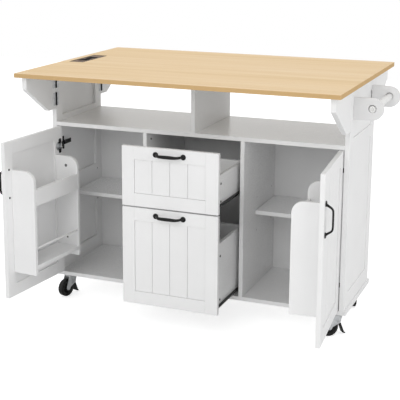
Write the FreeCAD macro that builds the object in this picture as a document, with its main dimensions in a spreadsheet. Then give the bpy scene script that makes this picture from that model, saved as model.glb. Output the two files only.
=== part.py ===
import FreeCAD, Part
import Sketcher
import math
import os
import re

# Rolling kitchen island, millimetres and degrees.
# Origin on the floor under the centre of the cabinet, +X to the right, +Y to the back, +Z up.

SIZES = {
    # overall
    "total_height": 925,
    "worktop_length": 1200,
    "worktop_depth": 850,
    "worktop_thickness": 16,
    "worktop_rounding": 2.5,
    "body_width": 1160,
    "body_depth": 375,
    "bay_height": 200,
    # cabinet boards
    "side_thickness": 18,
    "board_thickness": 15,
    "back_thickness": 5,
    "drawer_bay": 368,
    # frame and panel of the two ends
    "stile_width": 50,
    "top_rail": 50,
    "mid_rail_rise": 20,
    "mid_rail_drop": 25,
    "base_rail": 72,
    "panel_setback": 3,
    "side_panel_thickness": 5,
    "pin_rail_drop": 73,
    "pin_rail_rise": 85,
    "panel_tongue": 6,
    "trim_height": 18,
    "trim_proud": 6,
    # shelves on pins
    "shelf_rise": 297,
    "shelf_depth": 235,
    "shelf_back_gap": 2.5,
    "shelf_end_gap": 1,
    "pin_radius": 2.5,
    "pin_reach": 8,
    "pin_hole_depth": 9,
    "pin_pitch": 64,
    "pin_front_inset": 20,
    "pin_back_inset": 34,
    # drawer fronts and doors
    "front_thickness": 16,
    "front_gap": 2,
    "front_spacing": 5,
    "front_rail": 47,
    "front_panel_thickness": 6,
    "front_panel_setback": 4,
    "bead_width": 2,
    "bead_depth": 1.5,
    "lower_front_share": 0.624132,
    # drawer boxes
    "drawer_travel": 216,
    "slide_space": 13,
    "box_length": 280,
    "box_wall": 12,
    "box_floor": 5,
    "box_floor_rise": 6,
    "upper_box_rise": 27.5,
    "upper_box_height": 103,
    "lower_box_rise": 24,
    "lower_box_height": 225,
    # roller slides
    "slide_sheet": 1.2,
    "slide_drop": 12,
    "slide_foot": 11,
    "slide_lip": 7.8,
    "slide_lip_rise": 0.3,
    "rail_depth": 8.3,
    "rail_length": 300,
    "rail_front_inset": 18,
    "roller_radius": 8,
    "roller_centre_drop": 6,
    "front_roller_radius": 6,
    "front_roller_inset": 22,
    "roller_width": 6.5,
    "roller_pin_radius": 2,
    "roller_clearance": 0.3,
    "rear_roller_inset": 12,
    # bow handles
    "handle_span": 104,
    "handle_projection": 28,
    "handle_foot_radius": 10,
    "handle_foot_height": 4,
    "handle_neck_radius": 5,
    "handle_bar_radius": 6.5,
    "drawer_handle_drop": 23.5,
    "door_handle_drop": 153,
    # doors
    "pivot_inset": 4.7,
    "pivot_depth": 1,
    "left_door_angle": 95.4,
    "right_door_angle": 94.9,
    # concealed hinges
    "cup_radius": 17.5,
    "cup_inset": 22,
    "cup_depth": 13.5,
    "cup_wall": 0.8,
    "cup_fit": 0.2,
    "flange_width": 19,
    "flange_height": 56,
    "flange_thickness": 1.2,
    "flange_inset": 3.2,
    "arm_inner_radius": 16.2,
    "arm_thickness": 3,
    "arm_height": 16,
    "arm_tip_angle": 10.2,
    "arm_root_angle": 98,
    "arm_length": 85,
    "arm_width": 8,
    "link_thickness": 1.5,
    "link_cheek": 2,
    "link_tip_angle": 40,
    "link_end_angle": 104.2,
    "link_clearance": 0.3,
    "link_slot_room": 1,
    "link_pin_radius": 1.2,
    "stud_inset": 5.5,
    "plate_height": 50,
    "plate_depth": 10,
    "plate_thickness": 2,
    "plate_setback": 41,
    "saddle_rise": 4,
    "saddle_inset": 2.5,
    "saddle_length": 14,
    "hinge_foot_inset": 89,
    "hinge_head_inset": 73.5,
    # racks on the doors
    "rack_board": 14,
    "rack_depth": 97,
    "rack_foot_inset": 92,
    "rack_head_inset": 104,
    "rack_inset": 30,
    "rack_free_inset": 37,
    "rack_rounding": 40,
    "tray_board": 12,
    "tray_rail_height": 62,
    "upper_tray_rise": 259,
    "lower_tray_rise": 22,
    "lower_tray_board": 15,
    "rod_rise": 100,
    "rod_radius": 4,
    # swinging worktop brackets
    "bracket_length": 212.5,
    "bracket_depth": 149,
    "bracket_nose": 45,
    "bracket_foot": 54,
    "bracket_clearance": 0.4,
    "bracket_gap": 2,
    "bracket_rounding": 4,
    # butt hinges of the brackets
    "butt_height": 50,
    "butt_leaf": 18,
    "butt_sheet": 1.5,
    "butt_barrel_radius": 2.7,
    "butt_pin_radius": 1.5,
    "butt_bore_radius": 1.8,
    "butt_axis_inset": 3,
    "butt_knuckle_gap": 0.4,
    "butt_low": 63,
    "butt_high": 130,
    # towel rack
    "towel_projection": 103,
    "towel_end_radius": 38.5,
    "towel_drop": 88.5,
    "towel_board": 15,
    "towel_front_inset": 30.5,
    "towel_back_inset": 44.5,
    "towel_bar_radius": 12,
    # power unit
    "power_end_inset": 60,
    "power_centre_y": 41,
    "power_length": 213,
    "power_width": 60,
    "power_sheet": 2,
    "power_body_length": 196,
    "power_body_width": 40,
    "power_body_depth": 46,
    "power_wall": 2,
    "power_fit": 0.5,
    "socket_side": 36,
    "socket_depth": 24,
    "socket_pitch": 72,
    "socket_first": 67.5,
    "usb_length": 26,
    "usb_width": 20,
    "usb_first": 33,
    "insert_recess": 1,
    "gland_offset": 49,
    "gland_radius": 8,
    "gland_length": 10,
    # casters
    "caster_height": 94,
    "caster_end_inset": 39,
    "caster_side_inset": 47.5,
    "caster_trail": 28,
    "mount_plate": 52,
    "mount_plate_thickness": 3,
    "upper_race_radius": 20,
    "upper_race_height": 5,
    "race_gap": 0.5,
    "lower_race_radius": 22,
    "lower_race_height": 4,
    "fork_sheet": 3,
    "fork_half_length": 20,
    "fork_cheek": 2.5,
    "fork_inner_half": 13,
    "fork_boss_radius": 9,
    "fork_ear_height": 50,
    "kingpin_radius": 5,
    "kingpin_bore_radius": 5.4,
    "kingpin_head_radius": 9,
    "kingpin_head_height": 2.5,
    "wheel_radius": 34,
    "wheel_width": 23,
    "wheel_rounding": 4,
    "wheel_rim_radius": 24,
    "wheel_hub_radius": 10,
    "wheel_dish": 4,
    "axle_radius": 4,
    "axle_bore_radius": 4.3,
    # caster brakes
    "brake_pivot_y": 7,
    "brake_pivot_z": 57,
    "brake_pin_radius": 2.2,
    "brake_bore_radius": 2.6,
    "brake_eye_radius": 5,
    "brake_width": 22,
    "brake_sheet": 3,
    "brake_reach": 20,
    "brake_fall": 46,
    "brake_toe": 8,
    "brake_shoe": 3.5,
    "brake_shoe_fall": 16,
    "brake_shoe_height": 10,
    # how far each caster is turned at rest
    "front_left_turn": -16,
    "front_right_turn": -52,
    "rear_left_turn": 160,
    "rear_right_turn": 205,
    # cutting tools run this far past what they cut, and an edge this near a line runs along it
    "overrun": 5,
    "line_tolerance": 0.005,
}

# Places worked out from the sizes, as formulas.
HALF = "(body_width / 2)"
INSIDE = "(body_width / 2 - side_thickness)"
FRONT = "(-body_depth / 2)"
BACK = "(body_depth / 2)"
UNDER_TOP = "(total_height - worktop_thickness)"
DECK_TOP = f"({UNDER_TOP} - bay_height)"
DECK_UNDER = f"({DECK_TOP} - board_thickness)"
FLOOR_TOP = "(caster_height + board_thickness)"
DIVIDER_OUT = "(drawer_bay / 2 + board_thickness)"
SHELF_TOP = f"({FLOOR_TOP} + shelf_rise)"
BACK_INNER = f"({BACK} - back_thickness)"
SHELF_UNDER = f"({SHELF_TOP} - board_thickness)"
SHELF_BACK = f"({BACK_INNER} - shelf_back_gap)"
SHELF_FRONT = f"({SHELF_BACK} - shelf_depth)"
FRONT_LOW = f"({FLOOR_TOP} + front_gap)"
FRONT_HIGH = f"({DECK_UNDER} - front_gap)"
LOWER_FRONT_TOP = f"({FRONT_LOW} + ({FRONT_HIGH} - {FRONT_LOW} - front_spacing) * lower_front_share)"
UPPER_FRONT_LOW = f"({LOWER_FRONT_TOP} + front_spacing)"
PIVOT_X = f"({INSIDE} - pivot_inset)"
PIVOT_Y = f"({FRONT} + pivot_depth)"
DOOR_WIDTH = f"({INSIDE} - {DIVIDER_OUT} - 2 * front_gap)"
DOOR_EDGE = "(front_gap - pivot_inset)"
DOOR_FRONT = "(-pivot_depth)"
DOOR_BACK = "(front_thickness - pivot_depth)"
HINGE_HEIGHTS = {"low": f"({FRONT_LOW} + hinge_foot_inset)", "high": f"({FRONT_HIGH} - hinge_head_inset)"}
RACK_LOW = f"({FRONT_LOW} + rack_foot_inset)"
RACK_HIGH = f"({FRONT_HIGH} - rack_head_inset)"
BUTT_X = f"({INSIDE} - butt_axis_inset)"
BUTT_Y = "(body_depth / 2 + bracket_gap / 2)"
BRACKET_TOP = f"({UNDER_TOP} - bracket_clearance)"
TOWEL_Z = "(total_height - towel_drop)"
TOWEL_FRONT = "(body_depth / 2 - towel_front_inset)"
TOWEL_BACK = "(body_depth / 2 - towel_back_inset)"
POWER_X = "(worktop_length / 2 - power_end_inset)"
POWER_UNDER = "(total_height - power_sheet)"
CASTER_X = "(body_width / 2 - caster_end_inset)"
CASTER_Y = "(body_depth / 2 - caster_side_inset)"
FORK_TOP = "(caster_height - mount_plate_thickness - upper_race_height - race_gap - lower_race_height)"

SIDES = {"left": 1, "right": -1}
CORNERS = {
    "front_left": (1, 1),
    "front_right": (-1, 1),
    "rear_left": (1, -1),
    "rear_right": (-1, -1),
}
ALONG = {
    "x": FreeCAD.Rotation(FreeCAD.Vector(0, 1, 0), 90),
    "y": FreeCAD.Rotation(FreeCAD.Vector(1, 0, 0), -90),
    "z": FreeCAD.Rotation(),
}

doc = FreeCAD.newDocument("kitchen_island")
subparts = []


# Sheet, formulas and basic shapes

def fill_sheet():
    sheet = doc.addObject("Spreadsheet::Sheet", "Sizes")
    for row, (name, amount) in enumerate(SIZES.items(), start=1):
        sheet.set(f"A{row}", name)
        sheet.set(f"B{row}", str(amount))
        sheet.setAlias(f"B{row}", name)
    doc.recompute()
    return sheet


def size(name):
    return float(sheet.get(name))


def linked(formula):
    """The formula with each size's name turned into a reference to its cell."""
    def reference(match):
        word = match.group()
        return "Sizes." + word if word in SIZES else word
    return re.sub(r"[a-z][a-z0-9_]*", reference, formula)


def bind(thing, prop, formula):
    thing.setExpression(prop, linked(formula))


def mirrored(span, hand):
    """A span along X, on the left for hand 1 and on the right for hand -1."""
    return span if hand > 0 else (f"-({span[1]})", f"-({span[0]})")


def block(name, x, y, z, hand=1):
    """A box given by its two faces along each axis."""
    piece = doc.addObject("Part::Box", name)
    spans = {"x": mirrored(x, hand), "y": y, "z": z}
    for side, axis in zip(("Length", "Width", "Height"), spans):
        low, high = spans[axis]
        bind(piece, side, f"({high}) - ({low})")
        bind(piece, f"Placement.Base.{axis}", low)
    return piece


def rod(name, along, span, centre, radius, hand=1):
    """A round bar along one axis; centre gives the other two coordinates in order."""
    piece = doc.addObject("Part::Cylinder", name)
    piece.Placement = FreeCAD.Placement(FreeCAD.Vector(), ALONG[along])
    places = dict(zip([axis for axis in "xyz" if axis != along], centre))
    if along == "x":
        span = mirrored(span, hand)
    elif hand < 0:
        places["x"] = f"-({places['x']})"
    places[along] = span[0]
    bind(piece, "Radius", radius)
    bind(piece, "Height", f"({span[1]}) - ({span[0]})")
    for axis, place_formula in places.items():
        bind(piece, f"Placement.Base.{axis}", place_formula)
    return piece


def cut(name, base, *tools):
    piece = doc.addObject("Part::Cut", name)
    piece.Base = base
    piece.Tool = tools[0] if len(tools) == 1 else group(name + "_tools", *tools)
    return piece


def fuse(name, *pieces):
    piece = doc.addObject("Part::MultiFuse", name)
    piece.Shapes = list(pieces)
    piece.Refine = True
    return piece


def group(name, *pieces):
    piece = doc.addObject("Part::Compound", name)
    piece.Links = list(pieces)
    return piece


def place(piece, x="0", y="0", z="0", turn=None, axis=(0, 0, 1)):
    """Bind a piece's place, and its turn about an axis, to the sheet."""
    if turn is not None:
        piece.Placement = FreeCAD.Placement(FreeCAD.Vector(), FreeCAD.Rotation(FreeCAD.Vector(*axis), 1))
        bind(piece, "Placement.Rotation.Angle", turn)
    for letter, formula in zip("xyz", (x, y, z)):
        bind(piece, f"Placement.Base.{letter}", formula)
    return piece


def subpart(piece, label):
    """Register a finished piece under the name of its node."""
    piece.Label = label
    subparts.append(piece)
    return piece


# Sketched bodies

def sketch(body, name, plane, points):
    """A closed outline whose corners are bound to formulas."""
    outline = body.newObject("Sketcher::SketchObject", name)
    support = [item for item in body.Origin.OriginFeatures if item.Role == plane][0]
    outline.AttachmentSupport = [(support, "")]
    outline.MapMode = "FlatFace"
    count = len(points)
    angles = [2 * math.pi * number / count for number in range(count)]
    seeds = [FreeCAD.Vector(math.cos(angle), math.sin(angle), 0) for angle in angles]
    for number in range(count):
        outline.addGeometry(Part.LineSegment(seeds[number], seeds[(number + 1) % count]), False)
    for number in range(count):
        following = (number + 1) % count
        outline.addConstraint(Sketcher.Constraint("Coincident", number, 2, following, 1))
    for number, corner in enumerate(points):
        for kind, formula in zip(("DistanceX", "DistanceY"), corner):
            seed = seeds[number].x if kind == "DistanceX" else seeds[number].y
            index = outline.addConstraint(Sketcher.Constraint(kind, -1, 1, number, 1, seed))
            outline.renameConstraint(index, f"{kind}_{number}")
            bind(outline, f"Constraints.{kind}_{number}", formula)
    return outline


def padded(name, plane, points, length, midplane=False, backwards=False):
    """A body made by padding an outline."""
    body = doc.addObject("PartDesign::Body", name)
    pad = body.newObject("PartDesign::Pad", name + "_pad")
    pad.Profile = sketch(body, name + "_outline", plane, points)
    pad.Midplane = midplane
    pad.Reversed = backwards
    bind(pad, "Length", length)
    body.Tip = pad
    return body


def revolved(name, plane, points):
    """A body made by turning an outline about its sketch's horizontal axis."""
    body = doc.addObject("PartDesign::Body", name)
    turned = body.newObject("PartDesign::Revolution", name + "_turned")
    outline = sketch(body, name + "_outline", plane, points)
    turned.Profile = outline
    turned.ReferenceAxis = (outline, ["H_Axis"])
    turned.Angle = 360
    body.Tip = turned
    return body


def rounded(body, radius, wanted):
    """Fillet those edges of a body that the wanted test picks."""
    doc.recompute()
    tip = body.Tip
    edges = [f"Edge{number}" for number, edge in enumerate(tip.Shape.Edges, start=1) if wanted(edge)]
    fillet = body.newObject("PartDesign::Fillet", body.Name + "_rounding")
    fillet.Base = (tip, edges)
    bind(fillet, "Radius", radius)
    body.Tip = fillet
    return body


def runs_along(edge, axis):
    ends = [getattr(vertex.Point, axis) for vertex in (edge.Vertexes[0], edge.Vertexes[-1])]
    return abs(abs(ends[1] - ends[0]) - edge.Length) < size("line_tolerance")


# Cabinet

def make_worktop():
    half_x, half_y = "worktop_length / 2", "worktop_depth / 2"
    corners = [(f"-{half_x}", f"-{half_y}"), (half_x, f"-{half_y}"), (half_x, half_y), (f"-{half_x}", half_y)]
    slab = padded("worktop_slab", "XY_Plane", corners, "worktop_thickness")
    rounded(slab, "worktop_rounding", lambda edge: edge.BoundBox.ZMax > size("worktop_thickness") / 2)
    place(slab, z=UNDER_TOP)
    cutout = power_block("worktop_cutout", "power_body_length", "power_body_width", "power_fit",
                         (f"{UNDER_TOP} - overrun", "total_height + overrun"))
    rebate = power_block("worktop_rebate", "power_length", "power_width", "power_fit",
                         (POWER_UNDER, "total_height + overrun"))
    subpart(cut("worktop_board", slab, cutout, rebate), "worktop")


def power_block(name, length, width, margin, z):
    """A box centred on the power unit, larger by a margin on every side."""
    x = (f"-{POWER_X} - {width} / 2 - {margin}", f"-{POWER_X} + {width} / 2 + {margin}")
    y = (f"power_centre_y - {length} / 2 - {margin}", f"power_centre_y + {length} / 2 + {margin}")
    return block(name, x, y, z)


def insert_block(name, offset, length, width, z):
    """A box in the power unit's face, offset along its length from the front end of the plate."""
    start = f"power_centre_y - power_length / 2 + {offset}"
    x = (f"-{POWER_X} - {width} / 2", f"-{POWER_X} + {width} / 2")
    return block(name, x, (f"{start} - {length} / 2", f"{start} + {length} / 2"), z)


def make_power_unit():
    top = "total_height"
    places = {
        "first": ("socket_first", "socket_side", "socket_side"),
        "second": ("socket_first + socket_pitch", "socket_side", "socket_side"),
        "charger": ("usb_first", "usb_length", "usb_width"),
    }
    inserts = []
    holes = []
    for name, (offset, length, width) in places.items():
        holes.append(insert_block(f"bezel_hole_{name}", offset, length, width,
                                  (f"{POWER_UNDER} - overrun", f"{top} + overrun")))
        inserts.append(insert_block(f"insert_{name}", offset, length, width,
                                    (f"{top} - socket_depth", f"{top} - insert_recess")))
    plate = power_block("bezel_plate", "power_length", "power_width", "0", (POWER_UNDER, top))
    subpart(cut("bezel", plate, *holes), "power_bezel")
    subpart(group("inserts", *inserts), "power_sockets")
    low = "total_height - power_body_depth"
    shell = power_block("housing_shell", "power_body_length", "power_body_width", "0", (low, POWER_UNDER))
    space = power_block("housing_space", "power_body_length", "power_body_width", "-power_wall",
                        (f"{low} + power_wall", "total_height + overrun"))
    gland = rod("gland", "z", (f"{low} - gland_length", f"{low} + power_wall"),
                (f"-{POWER_X}", "power_centre_y + gland_offset"), "gland_radius")
    subpart(fuse("housing", cut("housing_case", shell, space), gland), "power_housing")


def pin_rods(name, face, towards, depth, rows, hand):
    """Rods into an upright's face, in two columns; towards is 1 where they run to larger |x|."""
    span = (f"-{face} - {depth}", f"-{face}") if towards > 0 else (f"-{face}", f"-{face} + {depth}")
    rods = []
    for column, y in (("front", f"{SHELF_FRONT} + pin_front_inset"), ("back", f"{SHELF_BACK} - pin_back_inset")):
        for row in rows:
            height = f"{SHELF_UNDER} - pin_radius + {row} * pin_pitch"
            rods.append(rod(f"{name}_{column}", "x", span, (y, height), "pin_radius", hand))
    return rods


def make_end(side, hand):
    """One end of the cabinet: a frame with two thin panels, and a rail inside for the shelf pins."""
    outer = block(f"{side}_end_board", (f"-{HALF}", f"-{INSIDE}"), (FRONT, BACK), ("caster_height", UNDER_TOP), hand)
    trim = block(f"{side}_trim", (f"-{HALF} - trim_proud", f"-{INSIDE}"), (FRONT, f"{BACK} + trim_proud"),
                 ("caster_height", "caster_height + trim_height"), hand)
    bay_span = (f"{DECK_TOP} + mid_rail_rise", f"{UNDER_TOP} - top_rail")
    low_span = ("caster_height + base_rail", f"{DECK_TOP} - mid_rail_drop")
    through = (f"-{HALF} - overrun", f"-{INSIDE} + overrun")
    window_y = (f"{FRONT} + stile_width", f"{BACK} - stile_width")
    panel_y = (f"{window_y[0]} - panel_tongue", f"{window_y[1]} + panel_tongue")
    panel_inner = f"-{HALF} + panel_setback + side_panel_thickness"
    panel_x = (f"-{HALF} + panel_setback", panel_inner)
    cuts = []
    panels = []
    for name, z in (("bay", bay_span), ("low", low_span)):
        panel_z = (f"{z[0]} - panel_tongue", f"{z[1]} + panel_tongue")
        cuts.append(block(f"{side}_{name}_window", through, window_y, z, hand))
        cuts.append(block(f"{side}_{name}_groove", panel_x, panel_y, panel_z, hand))
        panels.append(block(f"{side}_{name}_panel", panel_x, panel_y, panel_z, hand))
    framed = cut(f"{side}_framed", fuse(f"{side}_frame_boards", outer, trim), *cuts)
    rail_z = (f"{SHELF_UNDER} - pin_rail_drop", f"{SHELF_UNDER} + pin_rail_rise")
    rail = block(f"{side}_pin_rail", (panel_inner, f"-{INSIDE}"), window_y, rail_z, hand)
    holes = pin_rods(f"{side}_end_hole", INSIDE, 1, "pin_hole_depth", (-1, 0, 1), hand)
    subpart(cut(f"{side}_frame", fuse(f"{side}_frame_whole", framed, rail), *holes), f"{side}_side_frame")
    subpart(group(f"{side}_panels", *panels), f"{side}_side_panel")


def make_dividers():
    inner = "drawer_bay / 2"
    for side, hand in SIDES.items():
        board = block(f"{side}_upright", (f"-{DIVIDER_OUT}", f"-{inner}"), (FRONT, BACK_INNER),
                      (FLOOR_TOP, DECK_UNDER), hand)
        holes = pin_rods(f"{side}_divider_hole", DIVIDER_OUT, -1, "pin_hole_depth", (-1, 0, 1), hand)
        subpart(cut(f"{side}_upright_drilled", board, *holes), f"{side}_divider")
    centre = block("centre_board", ("-board_thickness / 2", "board_thickness / 2"), (FRONT, BACK),
                   (DECK_TOP, UNDER_TOP))
    subpart(centre, "centre_divider")


def make_boards():
    across = (f"-{INSIDE}", INSIDE)
    subpart(block("deck_board", across, (FRONT, BACK), (DECK_UNDER, DECK_TOP)), "deck")
    subpart(block("bottom_board", across, (FRONT, BACK), ("caster_height", FLOOR_TOP)), "bottom_panel")
    subpart(block("back_board", across, (BACK_INNER, BACK), (FLOOR_TOP, DECK_UNDER)), "back_panel")


def make_shelves():
    pins = []
    for side, hand in SIDES.items():
        x = (f"-{INSIDE} + shelf_end_gap", f"-{DIVIDER_OUT} - shelf_end_gap")
        board = block(f"{side}_shelf_board", x, (SHELF_FRONT, SHELF_BACK), (SHELF_UNDER, SHELF_TOP), hand)
        subpart(board, f"{side}_shelf")
        reach = "pin_hole_depth + pin_reach"
        outer = pin_rods(f"{side}_outer_pin", f"({INSIDE} + pin_hole_depth)", -1, reach, (0,), hand)
        inner = pin_rods(f"{side}_inner_pin", f"({DIVIDER_OUT} - pin_hole_depth)", 1, reach, (0,), hand)
        pins.extend(outer + inner)
    subpart(group("pins", *pins), "shelf_pins")


def make_towel_rack():
    centre_x = f"{HALF} + towel_projection - towel_end_radius"
    z = (f"{TOWEL_Z} - towel_end_radius", f"{TOWEL_Z} + towel_end_radius")
    spans = {
        "front": (f"-{TOWEL_FRONT}", f"-{TOWEL_FRONT} + towel_board"),
        "back": (f"{TOWEL_BACK} - towel_board", TOWEL_BACK),
    }
    boards = []
    for name, y in spans.items():
        arm = block(f"towel_arm_{name}", (HALF, centre_x), y, z)
        nose = rod(f"towel_nose_{name}", "y", y, (centre_x, TOWEL_Z), "towel_end_radius")
        bore = rod(f"towel_bore_{name}", "y", (f"{y[0]} - overrun", f"{y[1]} + overrun"),
                   (centre_x, TOWEL_Z), "towel_bar_radius")
        boards.append(cut(f"towel_board_{name}", fuse(f"towel_blank_{name}", arm, nose), bore))
    subpart(group("towel_boards", *boards), "towel_brackets")
    bar = rod("towel_rod", "y", (f"-{TOWEL_FRONT}", TOWEL_BACK), (centre_x, TOWEL_Z),
              "towel_bar_radius")
    subpart(bar, "towel_bar")


# Framed fronts, handles and drawers

def framed_front(name, x, y_front, z, hand=1):
    """A frame and its grooved panel, for a drawer front or a door; gives both pieces."""
    through = (f"{y_front} - overrun", f"{y_front} + front_thickness + overrun")
    window_x = (f"{x[0]} + front_rail", f"{x[1]} - front_rail")
    window_z = (f"{z[0]} + front_rail", f"{z[1]} - front_rail")
    panel_x = (f"{window_x[0]} - panel_tongue", f"{window_x[1]} + panel_tongue")
    panel_z = (f"{window_z[0]} - panel_tongue", f"{window_z[1]} + panel_tongue")
    panel_y = (f"{y_front} + front_panel_setback", f"{y_front} + front_panel_setback + front_panel_thickness")
    blank = block(f"{name}_blank", x, (y_front, f"{y_front} + front_thickness"), z, hand)
    window = block(f"{name}_window", window_x, through, window_z, hand)
    groove = block(f"{name}_groove", panel_x, panel_y, panel_z, hand)
    sheet_board = block(f"{name}_sheet", panel_x, panel_y, panel_z, hand)
    beads = []
    bead_shares = (0.25, 0.5, 0.75)
    for share in bead_shares:
        middle = f"{window_x[0]} + ({window_x[1]} - ({window_x[0]})) * {share}"
        bead_x = (f"{middle} - bead_width / 2", f"{middle} + bead_width / 2")
        bead_y = (f"{panel_y[0]} - overrun", f"{panel_y[0]} + bead_depth")
        beads.append(block(f"{name}_bead", bead_x, bead_y, window_z, hand))
    return cut(f"{name}_rails", blank, window, groove), cut(f"{name}_boards", sheet_board, *beads)


def handle_shape():
    """A bow handle along X that stands out towards -Y, from two round feet."""
    half = size("handle_span") / 2
    foot = size("handle_foot_height")
    reach = size("handle_projection") - size("handle_bar_radius")
    thin, thick = size("handle_neck_radius"), size("handle_bar_radius")
    # The bow's line rises fast from the feet, and its swelling gathers in the middle.
    steps = 8
    line_power = 0.6
    swell_power = 2
    rings = []
    for step in range(steps + 1):
        angle = math.pi * step / steps
        bulge = math.sin(angle)
        rise = (reach - foot / 2) * bulge ** line_power
        centre = FreeCAD.Vector(-half * math.cos(angle), -foot / 2 - rise, 0)
        facing = FreeCAD.Vector(half * math.sin(angle), -reach * math.cos(angle), 0)
        radius = thin + (thick - thin) * bulge ** swell_power
        rings.append(Part.Wire(Part.makeCircle(radius, centre, facing)))
    shape = Part.makeLoft(rings, True)
    outward = FreeCAD.Vector(0, -1, 0)
    for end in (-half, half):
        disc = Part.makeCylinder(size("handle_foot_radius"), foot, FreeCAD.Vector(end, 0, 0), outward)
        rim = [edge for edge in disc.Edges if edge.BoundBox.YMax < -foot / 2]
        shape = shape.fuse(disc.makeFillet(foot / 2, rim))
    return shape.removeSplitter()


def make_handle(label, shape, x, y, z, turn, hand_axis):
    handle = doc.addObject("Part::Feature", label + "_bow")
    handle.Shape = shape
    place(handle, x, y, z, turn, hand_axis)
    return subpart(handle, label)


def drawer_runner(name, box_low, hand):
    """The moving slide member under one side of a drawer, with its rear roller."""
    face = "(drawer_bay / 2 - slide_space)"
    start = f"({FRONT} + front_thickness)"
    end = f"({start} + box_length)"
    roller_y = f"{end} - rear_roller_inset"
    web = block(f"{name}_web", (f"-{face} - slide_sheet", f"-{face}"), (start, end),
                (f"{box_low} - slide_drop", f"{box_low} + slide_lip_rise + slide_sheet"), hand)
    foot = block(f"{name}_foot", (f"-{face} - slide_sheet", f"-{face} + slide_foot"), (start, end),
                 (f"{box_low} - slide_sheet", box_low), hand)
    lip = block(f"{name}_lip", (f"-{face} - slide_sheet - slide_lip", f"-{face} - slide_sheet"),
                (start, f"{roller_y} - roller_radius - slide_lip"),
                (f"{box_low} + slide_lip_rise", f"{box_low} + slide_lip_rise + slide_sheet"), hand)
    centre = (roller_y, f"{box_low} - roller_centre_drop")
    pin = rod(f"{name}_pin", "x", (f"-{face} - slide_sheet - slide_lip", f"-{face} - slide_sheet"), centre,
              "roller_pin_radius", hand)
    outer = f"-{face} - slide_sheet - slide_lip"
    roller = rod(f"{name}_roller", "x", (outer, f"{outer} + roller_width"), centre, "roller_radius", hand)
    return fuse(f"{name}_runner", web, foot, lip, pin, roller)


def cabinet_rail(name, box_low, hand):
    """The channel on a divider that the drawer's roller runs in, with its front roller."""
    wall = "(drawer_bay / 2)"
    start = f"({FRONT} + rail_front_inset)"
    end = f"({start} + rail_length)"
    middle = f"({box_low} - roller_centre_drop)"
    half = "(roller_radius + roller_clearance)"
    x = (f"-{wall}", f"-{wall} + rail_depth")
    solid = block(f"{name}_channel", x, (start, end),
                  (f"{middle} - {half} - slide_sheet", f"{middle} + {half} + slide_sheet"), hand)
    space = block(f"{name}_space", (f"-{wall} + slide_sheet", f"-{wall} + rail_depth + overrun"),
                  (f"{start} - overrun", f"{end} + overrun"), (f"{middle} - {half}", f"{middle} + {half}"), hand)
    centre = (f"{FRONT} + front_roller_inset", middle)
    pin = rod(f"{name}_pin", "x", (f"-{wall} + slide_sheet", f"-{wall} + rail_depth"), centre,
              "roller_pin_radius", hand)
    roller = rod(f"{name}_wheel", "x", (f"-{wall} + rail_depth - roller_width", f"-{wall} + rail_depth"), centre,
                 "front_roller_radius", hand)
    return fuse(f"{name}_rail", cut(f"{name}_channel_open", solid, space), pin, roller)


def drawer_box(name, low, height):
    """Two sides, a back, an inner front and a floor."""
    face = "(drawer_bay / 2 - slide_space)"
    start = f"({FRONT} + front_thickness)"
    end = f"({start} + box_length)"
    inside = f"({face} - box_wall)"
    z = (low, f"{low} + {height}")
    boards = []
    for side, hand in SIDES.items():
        boards.append(block(f"{name}_side_{side}", (f"-{face}", f"-{inside}"), (start, end), z, hand))
    across = (f"-{inside}", inside)
    boards.append(block(f"{name}_inner_front", across, (start, f"{start} + box_wall"), z))
    boards.append(block(f"{name}_inner_back", across, (f"{end} - box_wall", end), z))
    boards.append(block(f"{name}_floor", across, (f"{start} + box_wall", f"{end} - box_wall"),
                        (f"{low} + box_floor_rise", f"{low} + box_floor_rise + box_floor")))
    return group(f"{name}_boards", *boards)


def make_drawers(handle):
    across = ("-drawer_bay / 2 + front_gap", "drawer_bay / 2 - front_gap")
    drawers = {
        "upper": (UPPER_FRONT_LOW, FRONT_HIGH, "upper_box_rise", "upper_box_height"),
        "lower": (FRONT_LOW, LOWER_FRONT_TOP, "lower_box_rise", "lower_box_height"),
    }
    rails = []
    for name, (low, high, rise, height) in drawers.items():
        box_low = f"({low} + {rise})"
        frame, panel = framed_front(f"{name}_drawer", across, FRONT, (low, high))
        pieces = {
            "front": frame,
            "panel": panel,
            "box": drawer_box(f"{name}_drawer_box", box_low, height),
            "runners": group(f"{name}_runners", *[drawer_runner(f"{name}_{side}", box_low, hand)
                                                  for side, hand in SIDES.items()]),
        }
        for kind, piece in pieces.items():
            subpart(place(piece, y="-drawer_travel"), f"{name}_drawer_{kind}")
        make_handle(f"{name}_drawer_handle", handle, "0", f"{FRONT} - drawer_travel",
                    f"{high} - drawer_handle_drop", "0", (0, 0, 1))
        rails.extend(cabinet_rail(f"{name}_{side}_slide", box_low, hand) for side, hand in SIDES.items())
    subpart(group("slide_rails", *rails), "drawer_slide_rails")


# Doors, in a frame at the pivot with the door closed along X, then opened by their placement

def arc_strip(name, thickness, start, end, height):
    """A curved strip about the door's pivot, from one angle to another, standing on z = 0."""
    inner = size("arm_inner_radius")
    outer = inner + size(thickness)
    first, last = [math.radians(size(angle)) for angle in (start, end)]
    middle = (first + last) / 2

    def point(radius, angle):
        return FreeCAD.Vector(radius * math.cos(angle), radius * math.sin(angle), 0)

    edges = [
        Part.Arc(point(inner, first), point(inner, middle), point(inner, last)).toShape(),
        Part.makeLine(point(inner, last), point(outer, last)),
        Part.Arc(point(outer, last), point(outer, middle), point(outer, first)).toShape(),
        Part.makeLine(point(outer, first), point(inner, first)),
    ]
    piece = doc.addObject("Part::Feature", name)
    piece.Shape = Part.Face(Part.Wire(edges)).extrude(FreeCAD.Vector(0, 0, size(height)))
    return piece


def mirror_x(name, piece, hand):
    """The piece itself on the left, its mirror image on the right."""
    if hand > 0:
        return piece
    image = doc.addObject("Part::Mirroring", name + "_image")
    image.Source = piece
    image.Normal = FreeCAD.Vector(1, 0, 0)
    return image


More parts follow.
